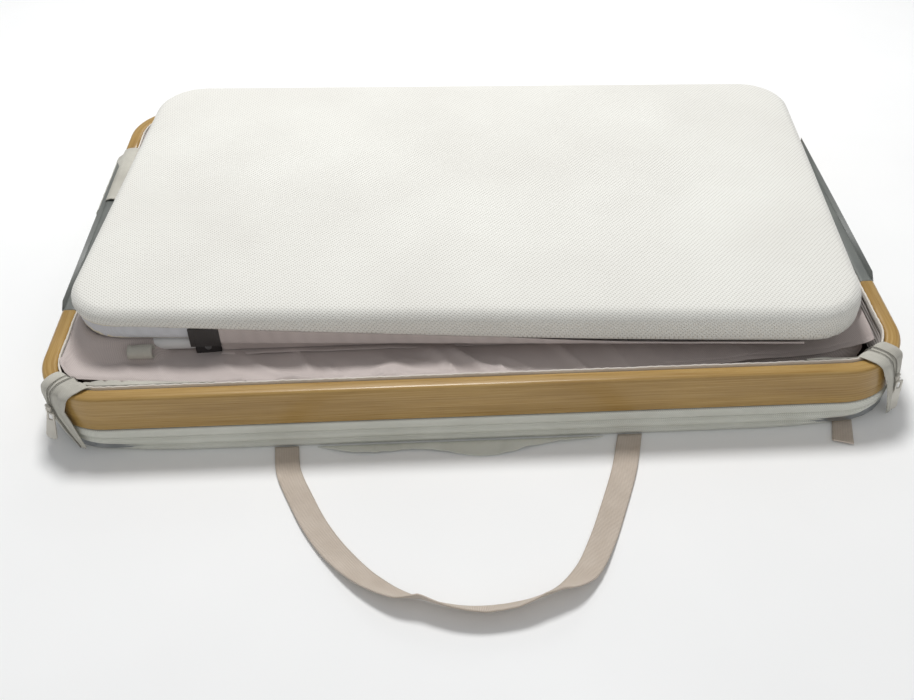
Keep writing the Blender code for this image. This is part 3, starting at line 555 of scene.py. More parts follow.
def rail_map(obj):
    """Length round the rail, and height plus distance in, so that grain runs on from face to top."""
    at = positions(obj)
    run, inset = around(at[:, 0], at[:, 1])
    lay_map(obj, run, at[:, 2] + inset, RING_LENGTH)


def bare_grid(rows, columns):
    """Room for a cloth's points, and for its two map values."""
    return np.zeros((rows, columns, 3)), np.zeros((rows, columns)), np.zeros((rows, columns))


def lengths_along(profile):
    """Distance gone at each point of a flat profile."""
    return np.concatenate([[0.0], np.cumsum(np.hypot(*np.diff(profile, axis=0).T))])


def folds(points, size, seed, depth=2):
    """Smooth noise from about -1 to 1 at each point, in lumps of about the size given."""
    shift = Vector((seed * 7.13, seed * 3.71, seed * 1.37))
    found = []
    for x, y, z in points:
        spot = Vector((x, y, z)) / size + shift
        value, share = 0.0, 1.0
        for _ in range(depth):
            value += share * noise.noise(spot)
            spot, share = spot * 2.1, share * 0.5
        found.append(value)
    return np.array(found)


def creases(points, size, seed):
    """Sharp-topped ridges, from 0 to about 1."""
    return 1.0 - np.minimum(np.abs(folds(points, size, seed, 1)) * 2.6, 1.0)


def grid_faces(index):
    """Four-cornered faces between the rows and columns of a grid of point numbers."""
    return np.stack([index[:-1, :-1], index[1:, :-1], index[1:, 1:], index[:-1, 1:]], -1).reshape(-1, 4).tolist()


def cloth(name, grid, look, u=None, v=None, closed=False, thickness=0.0, caps=False, offset=0.0,
          turned_out=False):
    """A cloth piece from a grid of points (rows, columns, 3). closed joins the last row to the first."""
    rows, columns = grid.shape[:2]
    index = np.arange(rows * columns).reshape(rows, columns)
    if closed:
        index = np.vstack([index, index[:1]])
    shapes = grid_faces(index)
    if caps:
        shapes += [index[: rows, 0].tolist()[::-1], index[: rows, -1].tolist()]
    mesh = bpy.data.meshes.new(name)
    mesh.from_pydata(grid.reshape(-1, 3).tolist(), [], shapes)
    obj = bpy.data.objects.new(name, mesh)
    bpy.context.scene.collection.objects.link(obj)
    take(obj)
    if u is not None:
        lay_map(obj, u.ravel(), v.ravel(), RING_LENGTH if closed else None)
    if turned_out:
        edit_all(obj)
        bpy.ops.mesh.normals_make_consistent(inside=False)
        bpy.ops.object.mode_set(mode="OBJECT")
    if thickness:
        finish_with(obj, "SOLIDIFY", thickness=thickness, offset=offset)
    obj.data.materials.append(look)
    obj.data.shade_smooth()
    return obj


def ring_rows(spacing, corner_spacing=None):
    """Points, outward directions and distances round the rail's outline."""
    step = corner_spacing or spacing
    found = []
    legs = [
        ((-HALF_X, 0.0), (-HALF_X, -CORE_Y), math.pi),
        ((-CORE_X, -HALF_Y), (CORE_X, -HALF_Y), 1.5 * math.pi),
        ((HALF_X, -CORE_Y), (HALF_X, CORE_Y), 2.0 * math.pi),
        ((CORE_X, HALF_Y), (-CORE_X, HALF_Y), 2.5 * math.pi),
        ((-HALF_X, CORE_Y), (-HALF_X, 0.0), 3.0 * math.pi),
    ]
    centres = [(-CORE_X, -CORE_Y), (CORE_X, -CORE_Y), (CORE_X, CORE_Y), (-CORE_X, CORE_Y)]
    gone = 0.0
    for i, (start, end, facing) in enumerate(legs):
        length = math.dist(start, end)
        count = max(2, round(length / spacing))
        for k in range(count):
            share = k / count
            x = start[0] + (end[0] - start[0]) * share
            y = start[1] + (end[1] - start[1]) * share
            found.append((x, y, math.cos(facing), math.sin(facing), gone + length * share))
        gone += length
        if i < 4:
            count = max(8, round(math.pi / 2 * CORNER / step))
            for k in range(count):
                angle = facing + math.pi / 2 * k / count
                x = centres[i][0] + CORNER * math.cos(angle)
                y = centres[i][1] + CORNER * math.sin(angle)
                found.append((x, y, math.cos(angle), math.sin(angle), gone + CORNER * (angle - facing)))
            gone += CORNER * math.pi / 2
    return np.array(found)


def ring_cloth(name, profile, look, spacing=0.006, shape=None, **extra):
    """Cloth round the whole rail, from a profile of (distance in, height). shape moves it further."""
    ring = ring_rows(spacing)
    profile = np.array(profile)
    inset = np.repeat(profile[None, :, 0], len(ring), 0)
    height = np.repeat(profile[None, :, 1], len(ring), 0)
    run = np.repeat(ring[:, 4][:, None], len(profile), 1)
    if shape is not None:
        inset, height = shape(run, inset, height)
    grid = np.stack([
        ring[:, 0][:, None] - inset * ring[:, 2][:, None],
        ring[:, 1][:, None] - inset * ring[:, 3][:, None],
        height,
    ], -1)  # fmt: skip
    gone = lengths_along(profile)
    across = np.repeat(gone[None, :], len(ring), 0)
    return cloth(name, grid, look, run, across, closed=True, **extra)


def wavy(run, size, seed):
    """Noise along the ring that meets itself at the ring's start."""
    turn = run.ravel() / RING_LENGTH * 2 * math.pi
    reach = RING_LENGTH / 2 / math.pi
    return folds(zip(np.cos(turn) * reach, np.sin(turn) * reach, turn * 0), size, seed).reshape(run.shape)


# ---------------------------------------------------------------- camera, lights and floor


def make_camera():
    data = bpy.data.cameras.new("camera")
    data.sensor_width = 36.0
    data.lens = 43.28
    obj = bpy.data.objects.new("camera", data)
    bpy.context.scene.collection.objects.link(obj)
    down, side, roll = math.radians(40.463), math.radians(-0.456), math.radians(1.8144)
    ahead = Vector((-math.sin(side) * math.cos(down), math.cos(side) * math.cos(down), -math.sin(down)))
    level = Vector((math.cos(side), math.sin(side), 0.0))
    below = ahead.cross(level)
    right = math.cos(roll) * level + math.sin(roll) * below
    under = -math.sin(roll) * level + math.cos(roll) * below
    facing = Matrix((right, -under, -ahead)).transposed().to_4x4()
    obj.matrix_world = Matrix.Translation((-0.0226, -1.1196, 0.8202)) @ facing
    bpy.context.scene.camera = obj


def make_light(name, place, target, size, power):
    data = bpy.data.lights.new(name, "AREA")
    data.shape = "DISK"
    data.size = size
    data.energy = power
    obj = bpy.data.objects.new(name, data)
    bpy.context.scene.collection.objects.link(obj)
    obj.location = place
    obj.rotation_euler = (Vector(target) - Vector(place)).to_track_quat("-Z", "Y").to_euler()


def make_stage():
    """A pale floor, a soft ceiling light a little behind the cot, and an even white room."""
    fresh()
    bpy.ops.mesh.primitive_plane_add(size=12.0)
    floor = bpy.context.object
    floor.name = "floor"
    made, tree, shader = blank("matt_white_floor", Roughness=0.95)
    grain = speckle(tree, placed(tree, False, (1.0, 1.0, 1.0)), 3.0)
    tree.links.new(ramp(tree, grain, [(0.3, "#f4f4f3"), (0.7, "#f8f8f7")]), shader.inputs["Base Color"])
    floor.data.materials.append(made)
    make_light("ceiling_light", (-0.12, 0.75, 2.3), (0.0, 0.0, 0.0), 0.7, 43.0)
    make_light("front_fill", (0.4, -2.2, 1.6), (0.0, 0.0, 0.0), 2.2, 7.0)
    make_light("rear_softbox", (0.2, 2.4, 1.5), (0.0, -0.2, 0.0), 1.4, 9.0)
    world = bpy.data.worlds.new("room")
    world.use_nodes = True
    world.node_tree.nodes["Background"].inputs["Color"].default_value = colour("#f5f7fa")
    world.node_tree.nodes["Background"].inputs["Strength"].default_value = 0.37
    bpy.context.scene.world = world
    bpy.context.scene.view_settings.view_transform = "Standard"


# ---------------------------------------------------------------- the top rail


def upright_section(x, y, width, bottom, top, head, foot):
    """An upside-down U, standing across the rail at a hub's end and still in edit mode."""
    fresh()
    middle = (bottom + top) / 2
    bpy.ops.mesh.primitive_plane_add(size=1.0, location=(x, y, middle), rotation=(math.pi / 2, 0, 0))
    bpy.ops.object.mode_set(mode="EDIT")
    bpy.ops.transform.resize(value=(width, 1.0, top - bottom))
    pick(lambda at, _: at.z > middle, "VERT")
    bpy.ops.mesh.bevel(offset=head, segments=6, affect="VERTICES")
    pick(lambda at, _: at.z < middle - (top - bottom) * 0.45, "VERT")
    bpy.ops.mesh.bevel(offset=foot, segments=3, affect="VERTICES")
    bpy.ops.mesh.select_all(action="SELECT")
    bpy.ops.mesh.delete(type="ONLY_FACE")
    pick(lambda at, _: at.z < bottom + foot * 0.01, "EDGE")
    bpy.ops.mesh.delete(type="EDGE")
    bpy.ops.mesh.select_all(action="SELECT")


def make_rails():
    """Two U-shaped halves of a thin channel, each one bent length, with rounded edges."""
    hub_end = HUB_HIGH.y + JOINT_GAP
    side = CORE_Y - hub_end
    upright_section(-HALF_X + RAIL_WIDTH / 2, -hub_end, RAIL_WIDTH, RAIL_BOTTOM, RAIL_TOP,
                    RAIL_TOP_ROUND, RAIL_BOTTOM_ROUND)
    quarter = math.pi / 2
    follow([
        (0.0, -side, 0.0),
        ((-CORE_X, -CORE_Y), quarter),
        (2 * CORE_X, 0.0, 0.0),
        ((CORE_X, -CORE_Y), quarter),
        (0.0, side, 0.0),
    ])  # fmt: skip
    front = done("oak_rail_front", OAK)
    finish_with(front, "SOLIDIFY", thickness=RAIL_WALL, offset=-1.0)
    rear = copied(front, "oak_rail_rear", Matrix.Rotation(math.pi, 4, "Z"))
    for obj, node in [(front, "front_rail"), (rear, "rear_rail")]:
        rail_map(obj)
        settle(obj, "top_rail", [node])


def make_hubs():
    """Plastic channels that join the two halves, with a rounded lip at each end and a shallow grip."""
    width = RAIL_WIDTH - 2 * HUB_INSET
    x = HUB_LOW.x + width / 2
    upright_section(x, HUB_LOW.y, width, HUB_LOW.z, HUB_HIGH.z, RAIL_TOP_ROUND, RAIL_BOTTOM_ROUND)
    lip = 0.0030
    long = HUB_HIGH.y - HUB_LOW.y
    follow([(0.0, lip, 0.0), (0.0, long / 2 - lip, 0.0), (0.0, long / 2 - lip, 0.0), (0.0, lip, 0.0)])
    left = done("hub_left", HUB_PLASTIC)
    bpy.ops.object.mode_set(mode="EDIT")
    outer = HUB_LOW.x + 0.0002
    pick(lambda at, normal: at.x < outer and abs(at.y) < long / 2 - lip and abs(normal.z) < 0.3)
    bpy.ops.mesh.inset(thickness=0.0050, depth=0.0)
    bpy.ops.mesh.inset(thickness=0.0010, depth=-0.0006)
    bpy.ops.object.mode_set(mode="OBJECT")
    finish_with(left, "SOLIDIFY", thickness=HUB_WALL, offset=-1.0)
    right = copied(left, "hub_right", Matrix.Rotation(math.pi, 4, "Z"))
    settle(left, "top_rail", ["left_hub"])
    settle(right, "top_rail", ["right_hub"])


def make_rail_fabric():
    """The pale binding along the rail's inner edge, and the pleated wall that hangs from it."""
    near = RAIL_WIDTH + JOINT_GAP
    top = RAIL_TOP + 0.0015
    radius = 0.0010
    profile = [(near, top - 0.0090), (near, top - radius)]
    for k in range(1, 6):
        angle = math.pi * k / 5
        profile.append((near + radius - radius * math.cos(angle), top - radius + radius * math.sin(angle)))
    profile += [(near + 2 * radius, top - 0.0050), (near + 2 * radius, top - 0.0090), (near, top - 0.0090)]

    def puckered(run, inset, height):
        lift = 0.0004 * np.sin(run / 0.011 * 2 * math.pi) + 0.0003 * wavy(run, 0.05, 3)
        return inset + 0.0002 * (1 + np.sin(run / 0.0075)), height + lift * (height > top - 0.004)

    trim = ring_cloth("rail_binding", profile, TRIM, 0.0045, puckered)
    settle(trim, "top_rail", ["inner_trim"])
    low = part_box("side_wall")[0].z
    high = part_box("side_wall")[1].z
    pleats = 7
    profile = []
    for k in range(pleats * 4 + 1):
        swing = 0.5 - 0.5 * math.cos(k / 4 * 2 * math.pi)
        profile.append((near + 0.0003 + 0.0019 * swing, low + (high - low) * k / (pleats * 4)))

    def slack(run, inset, height):
        return inset + 0.0002 * wavy(run, 0.06, 5), height

    wall = ring_cloth("side_wall_cloth", profile, WALL_LINING, 0.010, slack)
    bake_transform(wall)
    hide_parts("side_wall")


# ---------------------------------------------------------------- the base


def make_base_band():
    """The sewn band round the base: three soft panels between two piped seams, over a flat sole."""
    inset = 0.0005
    profile = [(0.0100, BASE_TOP - 0.0022), (0.0040, BASE_TOP - 0.0006), (0.0015, BASE_TOP - 0.0001)]
    seams = [0.0205, 0.0095]

    def panel(z_from, z_to, bulge, count):
        for k in range(count):
            share = (k + 0.5) / count
            profile.append((inset - bulge * math.sin(math.pi * share), z_from + (z_to - z_from) * share))

    def piping(z):
        for k in range(5):
            angle = math.radians(-90 + 45 * k)
            profile.append((inset + 0.0012 - 0.0019 * math.cos(angle), z - 0.0010 * math.sin(angle)))

    panel(BASE_TOP - 0.0006, seams[0] + 0.0011, 0.0008, 7)
    piping(seams[0])
    panel(seams[0] - 0.0011, seams[1] + 0.0011, 0.0012, 7)
    piping(seams[1])
    panel(seams[1] - 0.0011, 0.0030, 0.0010, 4)
    profile.extend([(0.0010, 0.0016), (0.0030, 0.0006), (0.0070, 0.0003), (0.0300, 0.0003)])

    def puckered(run, inset, height):
        loose = np.clip(1 - np.abs(height - 0.015) / 0.014, 0, 1)
        ripple = 0.0007 * wavy(run + height * 0.8, 0.045, 11) + 0.0003 * wavy(run + height * 1.5, 0.014, 12)
        turns = [math.pi / 4 * CORNER + CORE_Y + k for k in (0.0, 2 * CORE_X + math.pi / 2 * CORNER)]
        near = sum(np.exp(-(((run - turn) / 0.075) ** 2)) for turn in turns)
        tuck = 0.0120 * near * np.clip(1 - height / (0.8 * BASE_TOP), 0, 1) ** 1.6
        return inset - loose * np.abs(ripple) + tuck, height + 0.0006 * wavy(run, 0.08, 13) * loose

    band = ring_cloth("base_band", profile, SAGE, 0.0055, puckered)
    edit_all(band)
    close = 0.0005

    def on_sole_edge(at, _):
        inset = around(np.array([at.x]), np.array([at.y]))[1][0]
        return at.z < close and abs(inset - 0.03) < close

    pick(on_sole_edge, "EDGE")
    bpy.ops.mesh.edge_face_add()
    bpy.ops.mesh.select_all(action="SELECT")
    bpy.ops.mesh.normals_make_consistent(inside=False)
    bpy.ops.object.mode_set(mode="OBJECT")
    if min(band.data.polygons, key=lambda face: face.center.z).normal.z > 0:
        band.data.flip_normals()
    finish_with(band, "SOLIDIFY", thickness=0.0009, offset=-1.0)
    settle(band, "base", ["base_cover"])


# ---------------------------------------------------------------- the liner


def smooth_curve(points, steps):
    """A Catmull-Rom curve through the points."""
    points = [Vector(p) for p in points]
    padded = [2 * points[0] - points[1], *points, 2 * points[-1] - points[-2]]
    found = []
    for a, b, c, d in zip(padded, padded[1:], padded[2:], padded[3:]):
        for step in range(steps):
            t = step / steps
            found.append(
                0.5 * (2 * b + (c - a) * t + (2 * a - 5 * b + 4 * c - d) * t * t + (3 * b - a - 3 * c + d) * t**3)
            )
    found.append(points[-1])
    return found


LINER_FRONT = [
    (-0.4310, -0.2450), (-0.4175, -0.2614), (-0.3927, -0.2658), (-0.3428, -0.2732), (-0.2905, -0.2791),
    (-0.1773, -0.2850), (-0.0500, -0.2853), (0.0800, -0.2845), (0.1700, -0.2795), (0.2347, -0.2712),
    (0.2983, -0.2653), (0.3624, -0.2593), (0.3961, -0.2515), (0.4249, -0.2434),
]  # fmt: skip


def liner_front(x):
    curve = [tuple(p) for p in smooth_curve([(a, b, 0.0) for a, b in LINER_FRONT], 6)]
    return np.interp(x, [p[0] for p in curve], [p[1] for p in curve])


def tube_cover(x, y):
    """Height of a cloth that lies over the platform's tube and slopes down beside it."""
    bend = TUBE_END - TUBE_BEND
    off = np.hypot(np.maximum(np.abs(x) - bend, 0), np.maximum(TUBE_FRONT + TUBE_BEND - y, 0))
    far = np.where(y > TUBE_FRONT + TUBE_BEND, np.abs(x) - TUBE_END, off - TUBE_BEND)
    radius = TUBE_RADIUS + 0.0006
    over = TUBE_Z + np.sqrt(np.maximum(radius**2 - far**2, 0.0))
    beside = TUBE_Z + 0.45 * radius - (np.abs(far) - 0.9 * radius) * 0.75
    return np.where(np.abs(far) < 0.9 * radius, over, beside)


def make_liner():
    """The folded lining: a soft bundle, and over it the top layer with creases and a stitched front hem."""
    low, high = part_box("folded_liner")
    profile = [
        (0.30, low.z), (0.10, low.z), (0.012, low.z), (0.002, low.z + 0.006), (0.0, low.z + 0.018),
        (0.001, low.z + 0.030), (0.0, low.z + 0.040), (0.006, high.z - 0.004), (0.020, high.z - 0.001),
        (0.10, high.z - 0.0006), (0.30, high.z - 0.0006),
    ]  # fmt: skip
    rows = 300
    grid = []
    for k in range(rows):
        angle = 2 * math.pi * k / rows
        power = 0.16
        unit = Vector((math.copysign(abs(math.cos(angle)) ** power, math.cos(angle)),
                       math.copysign(abs(math.sin(angle)) ** power, math.sin(angle))))
        row = []
        for inset, z in profile:
            reach_y = high.y - (0.018 if unit.y < 0 else 0.0) - inset * 0.82
            row.append(((high.x - inset * 0.999) * unit.x, reach_y * unit.y, z))
        grid.append(row)
    grid = np.array(grid)
    side = np.clip(1 - np.abs(grid[..., 2] - (low.z + high.z) / 2) / 0.03, 0, 1)
    dent = folds(grid.reshape(-1, 3) * np.array([1, 1, 4]), 0.06, 21).reshape(grid.shape[:2])
    grid[..., :2] *= 1 - 0.012 * (np.abs(dent) * side)[..., None]
    bundle = cloth("liner_bundle", grid[::-1], LINING, closed=True, caps=True)
    settle(bundle, "base", ["folded_liner"])

    columns, deep = 230, 130
    x = np.linspace(-1, 1, columns)
    left, right = -0.4300, 0.4249
    y_rear = high.y - 0.006
    share = np.linspace(0, 1, deep) ** 1.6
    grid = np.zeros((columns, deep, 3))
    for i, place in enumerate(x):
        at = left + (right - left) * (place + 1) / 2
        front = float(liner_front(at))
        rear = y_rear - 0.045 * max(0.0, (abs(place) - 0.88) / 0.12) ** 2
        grid[i, :, 0] = at
        grid[i, :, 1] = front + (rear - front) * share
    flat = grid.reshape(-1, 3)
    reach = grid[..., 1] - grid[:, :1, 1]
    free = np.clip((-0.208 - grid[..., 1]) / 0.03, 0, 1)
    edge = np.clip(1 - reach / 0.05, 0, 1)
    slope = flat * np.array([1.0, 0.45, 1.0]) + flat[:, [1, 0, 2]] * np.array([0.5, 0.0, 0.0])
    fine = creases(slope, 0.055, 31).reshape(reach.shape) ** 2
    sharp = creases(slope * np.array([1.0, 0.6, 1.0]), 0.027, 34).reshape(reach.shape) ** 3
    broad = folds(flat, 0.12, 32).reshape(reach.shape)
    middle = np.exp(-(((grid[..., 0] + 0.06) / 0.17) ** 2))
    lift = 0.0009 + 0.0012 * broad * free
    lift = lift + free * (0.0045 * fine * (0.4 + middle) + 0.0055 * sharp * middle * edge)
    at_left = np.clip((-0.10 - grid[..., 0]) / 0.10, 0, 1)
    lift = lift + free * edge * (0.0030 * middle - 0.0040 * (1 - middle) * (1 - at_left) + 0.0022 * at_left)
    up_left = np.clip((-0.408 - grid[..., 0]) / 0.022, 0, 1) * np.clip((-0.10 - grid[..., 1]) / 0.06, 0, 1)
    up_right = np.clip((grid[..., 0] - 0.410) / 0.015, 0, 1) * np.clip((-0.12 - grid[..., 1]) / 0.06, 0, 1)
    lift = lift + 0.0095 * up_left**2 + 0.0035 * up_right**2
    hem = np.exp(-(((reach - 0.0045) / 0.0040) ** 2))
    lift = lift + 0.0022 * hem * np.clip((-grid[..., 0] - 0.02) / 0.10, 0, 1)
    shelter = tube_cover(grid[..., 0], grid[..., 1]) - high.z - lift
    left_end = np.clip((-0.318 - grid[..., 0]) / 0.022, 0, 1)
    left_end = left_end**2 * (3 - 2 * left_end)
    lift = lift + np.maximum(shelter, 0) * left_end
    stitch = np.exp(-(((reach - 0.0065) / 0.0009) ** 2))
    lift = lift - 0.0005 * stitch * free
    grid[..., 2] = high.z + np.maximum(lift, np.where(free > 0, -0.0030, 0.0003))
    sheet = cloth("liner_top_layer", grid, LINING, thickness=0.0008, offset=1.0)
    settle(sheet, "base", [])


# ---------------------------------------------------------------- the mattress platform


def make_tubes():
    """Bent steel tube in four lengths."""
    spin = math.pi / 2
    joint = COUPLER_X + JOINT_GAP
    start_ring(joint, TUBE_FRONT, TUBE_Z, TUBE_RADIUS)
    bend = TUBE_END - TUBE_BEND
    follow([
        (bend - joint, 0.0, 0.0),
        ((bend, TUBE_FRONT + TUBE_BEND), spin),
        (0.0, TUBE_REAR - TUBE_FRONT - 2 * TUBE_BEND, 0.0),
        ((bend, TUBE_REAR - TUBE_BEND), spin),
        (joint - bend, 0.0, 0.0),
    ])  # fmt: skip
    right = done("steel_tube_right", POWDER_COAT, 60.0, holes=True)
    left = copied(right, "steel_tube_left", Matrix.Scale(-1.0, 4, (1, 0, 0)))
    settle(right, "base", ["platform_right_tube"])
    settle(left, "base", ["platform_left_tube"])
    for name, node, y in [("steel_tube_front", "platform_front_tube", TUBE_FRONT),
                          ("steel_tube_rear", "platform_rear_tube", TUBE_REAR)]:
        half = COUPLER_X - JOINT_GAP
        start_ring(-half, y, TUBE_Z, TUBE_RADIUS)
        follow([(half, 0.0, 0.0), (half, 0.0, 0.0)])
        settle(done(name, POWDER_COAT, 60.0, holes=True), "base", [node])


def with_hook(coupler, size):
    """Adds the broad hook that stands up in front of the pad's underside."""
    top = PAD_SPLIT - 0.0008
    low = TUBE_Z + size - 0.0030
    long = COUPLER_HIGH.x - COUPLER_LOW.x
    thick, foot, rim = 0.0022, 0.0026, 0.0050
    start_block((long, thick, top - low), (-COUPLER_X, HOOK_FRONT + thick / 2, (low + top) / 2))
    slice_across(2, [low + foot])
    pick(lambda at, normal: normal.y > 0.5 and at.z < low + foot)
    back = TUBE_FRONT - size + 0.002 - HOOK_FRONT
    bpy.ops.mesh.extrude_region_move(TRANSFORM_OT_translate={"value": (0, back, 0)})
    slice_across(0, [-long / 2 + rim, long / 2 - rim], -COUPLER_X)
    pick(lambda at, normal: normal.y < -0.5 and abs(at.x + COUPLER_X) < long / 2 - rim)
    bpy.ops.mesh.inset(thickness=0.0006, depth=-0.0005)
    hook = done("coupler_hook", BLACK_NYLON, 35.0)
    finish_with(hook, "BEVEL", width=0.0004, segments=2, limit_method="ANGLE")
    join_to(coupler, hook)
    return coupler


def make_couplers():
    """Black couplers: a rounded block with a raised collar at each end, a clip under it and a side lug."""
    long = 2 * (COUPLER_X - SLING_HIGH.x - 2 * JOINT_GAP)
    size = TUBE_Z - COUPLER_LOW.z
    start_block((long, 2 * size, 2 * size))
    pick(lambda at, _: abs(at.x) < 0.001, "EDGE")
    bpy.ops.mesh.bevel(offset=0.0022, segments=4, affect="EDGES")
    collar, groove = 0.0045, 0.0060
    slice_across(0, [-long / 2 + collar, long / 2 - collar, -long / 2 + groove, long / 2 - groove])
    pick(lambda at, normal: abs(at.x) > long / 2 - collar and abs(normal.x) < 0.5)
    bpy.ops.mesh.extrude_region_shrink_fatten(TRANSFORM_OT_shrink_fatten={"value": 0.0007})
    pick(lambda at, normal: abs(at.x) > long / 2 - 0.0001 and abs(normal.x) > 0.9)
    bpy.ops.mesh.inset(thickness=0.0009, depth=0.0)
    bpy.ops.mesh.inset(thickness=0.0006, depth=-0.0006)
    block = done("coupler_pattern", BLACK_NYLON, 35.0)
    start_block((0.0205, 0.0036, size * 1.10), (0.0015, -size + 0.0012, -size * 0.42))
    pick(lambda at, _: at.z < -size * 0.9, "VERT")
    bpy.ops.transform.resize(value=(0.92, 1.0, 1.0))
    soften(0.0007, 3)
    clip = done("coupler_clip", BLACK_NYLON, 35.0)
    start_block((0.0060, 0.0040, 0.0032), (long / 2 + 0.0022, -size + 0.0040, 0.0008))
    soften(0.0006, 2)
    lug = done("coupler_lug", BLACK_NYLON, 35.0)
    join_to(block, clip, lug)
    for side_name, side in [("left", -1), ("right", 1)]:
        for end_name, y in [("front", TUBE_FRONT), ("rear", TUBE_REAR)]:
            turn = Matrix.Identity(4)
            if end_name == "rear":
                turn = Matrix.Scale(-1.0, 4, (0, 1, 0))
            if side_name == "right":
                turn = Matrix.Scale(-1.0, 4, (1, 0, 0)) @ turn
            place = Matrix.Translation((side * COUPLER_X, y, TUBE_Z)) @ turn
            made = copied(block, f"nylon_coupler_{end_name}_{side_name}", place)
            if (end_name, side_name) == ("front", "left"):
                made = with_hook(made, size)
            settle(made, "base", [f"coupler_{end_name}_{side_name}"])
    bpy.data.objects.remove(block, do_unlink=True)


def make_sling():
    """The platform's cloth: a sleeve round the front and rear tubes with a sewn flap under the front one."""
    reach = SLING_HIGH.x
    radius = TUBE_RADIUS + 0.0007
    profile = [(TUBE_FRONT - 0.0165, LINER_TOP + 0.0042), (TUBE_FRONT - 0.0125, LINER_TOP + 0.0036),
               (TUBE_FRONT - 0.0085, LINER_TOP + 0.0040)]
    for k in range(13):
        angle = math.radians(225 - 135 * k / 12)
        profile.append((TUBE_FRONT + radius * math.cos(angle), TUBE_Z + radius * math.sin(angle)))
    span = TUBE_REAR - TUBE_FRONT
    for k in range(1, 24):
        share = k / 24
        profile.append((TUBE_FRONT + span * share, TUBE_Z + radius - 0.0016 * math.sin(math.pi * share)))
    for k in range(13):
        angle = math.radians(90 - 150 * k / 12)
        profile.append((TUBE_REAR + radius * math.cos(angle), TUBE_Z + radius * math.sin(angle)))
    profile = np.array(profile)
    columns = 150
    grid = np.zeros((columns, len(profile), 3))
    grid[..., 0] = np.linspace(-reach, reach, columns)[:, None]
    grid[..., 1] = profile[:, 0][None, :]
    grid[..., 2] = profile[:, 1][None, :]
    flat = grid.reshape(-1, 3)
    ripple = folds(flat * np.array([1.0, 0.5, 0.5]), 0.035, 41).reshape(grid.shape[:2])
    sleeve = np.clip(1 - (grid[..., 1] - TUBE_FRONT) / 0.02, 0, 1) * (grid[..., 1] < TUBE_FRONT + 0.02)
    grid[..., 1] -= 0.0007 * np.abs(ripple) * sleeve
    grid[:, :3, 2] += 0.0012 * folds(grid[:, :3].reshape(-1, 3), 0.03, 42).reshape(columns, 3)
    sling = cloth("platform_cloth", grid, LINING, thickness=0.0007, offset=0.0)
    settle(sling, "base", ["platform_sling"])


def make_skirt():
    """The platform cloth's front edge, which wraps the pad's underside and stands up in front of it."""
    x_from, x_to = -SLING_HIGH.x + 0.001, 0.340
    columns, rows = 170, 24
    grid, u, v = bare_grid(columns, rows)
    turn_up = PAD_BOTTOM - 0.0006
    for i in range(columns):
        x = x_from + (x_to - x_from) * i / (columns - 1)
        out = min(pad_front(x) - 0.0014, TUBE_FRONT - TUBE_RADIUS - 0.0030)
        shown = min(max((0.20 - x) / 0.16, 0.0), 1.0)
        top = turn_up + 0.0020 + max(seam_height(x) - 0.0030 - turn_up, 0.0) * shown
        route = smooth_curve([
            (0.0, TUBE_FRONT - TUBE_RADIUS - 0.0018, TUBE_Z - 0.0050),
            (0.0, (TUBE_FRONT - TUBE_RADIUS + out) / 2, (TUBE_Z + turn_up) / 2 - 0.0010),
            (0.0, out + 0.0012, turn_up - 0.0010),
            (0.0, out, turn_up + 0.0015),
            (0.0, out - 0.0002, top),
        ], 8)
        gone = [0.0]
        for a, b in zip(route, route[1:]):
            gone.append(gone[-1] + (b - a).length)
        at = np.linspace(0, gone[-1], rows)
        grid[i, :, 0] = x
        grid[i, :, 1] = np.interp(at, gone, [p.y for p in route])
        grid[i, :, 2] = np.interp(at, gone, [p.z for p in route])
        u[i], v[i] = x, at
    ripple = folds(grid.reshape(-1, 3) * np.array([1, 0.5, 0.4]), 0.05, 45).reshape(u.shape)
    grid[..., 1] -= 0.0005 * np.abs(ripple)
    skirt = cloth("platform_skirt", grid, LINING, u, v, thickness=0.0008, offset=0.0)
    settle(skirt, "base", [])


def pad_front(x):
    """The y of the pad shell's front face at x."""
    straight = -(PAD_HALF_Y - SHELL_INSET) / math.cos(PAD_TURN)
    return straight + PAD_SHIFT.y + (x - PAD_SHIFT.x) * math.tan(PAD_TURN)


# ---------------------------------------------------------------- the mattress


def pad_outline(inset):
    """Points and outward directions round the mattress, before it is turned."""
    half_x, half_y, corner = PAD_HALF_X - inset, PAD_HALF_Y - inset, PAD_CORNER - inset
    found = []
    steps = 12
    for quarter, (side_x, side_y) in enumerate([(-1, -1), (1, -1), (1, 1), (-1, 1)]):
        for step in range(steps + 1):
            angle = math.pi + math.pi / 2 * (quarter + step / steps)
            out = Vector((math.cos(angle), math.sin(angle)))
            centre = Vector((side_x * (half_x - corner), side_y * (half_y - corner)))
            found.append((centre + corner * out, out))
    return found


def seam_height(x):
    """The height of the cover's seam at x."""
    return PAD_SPLIT - SEAM_SLOPE * (x + COUPLER_X)


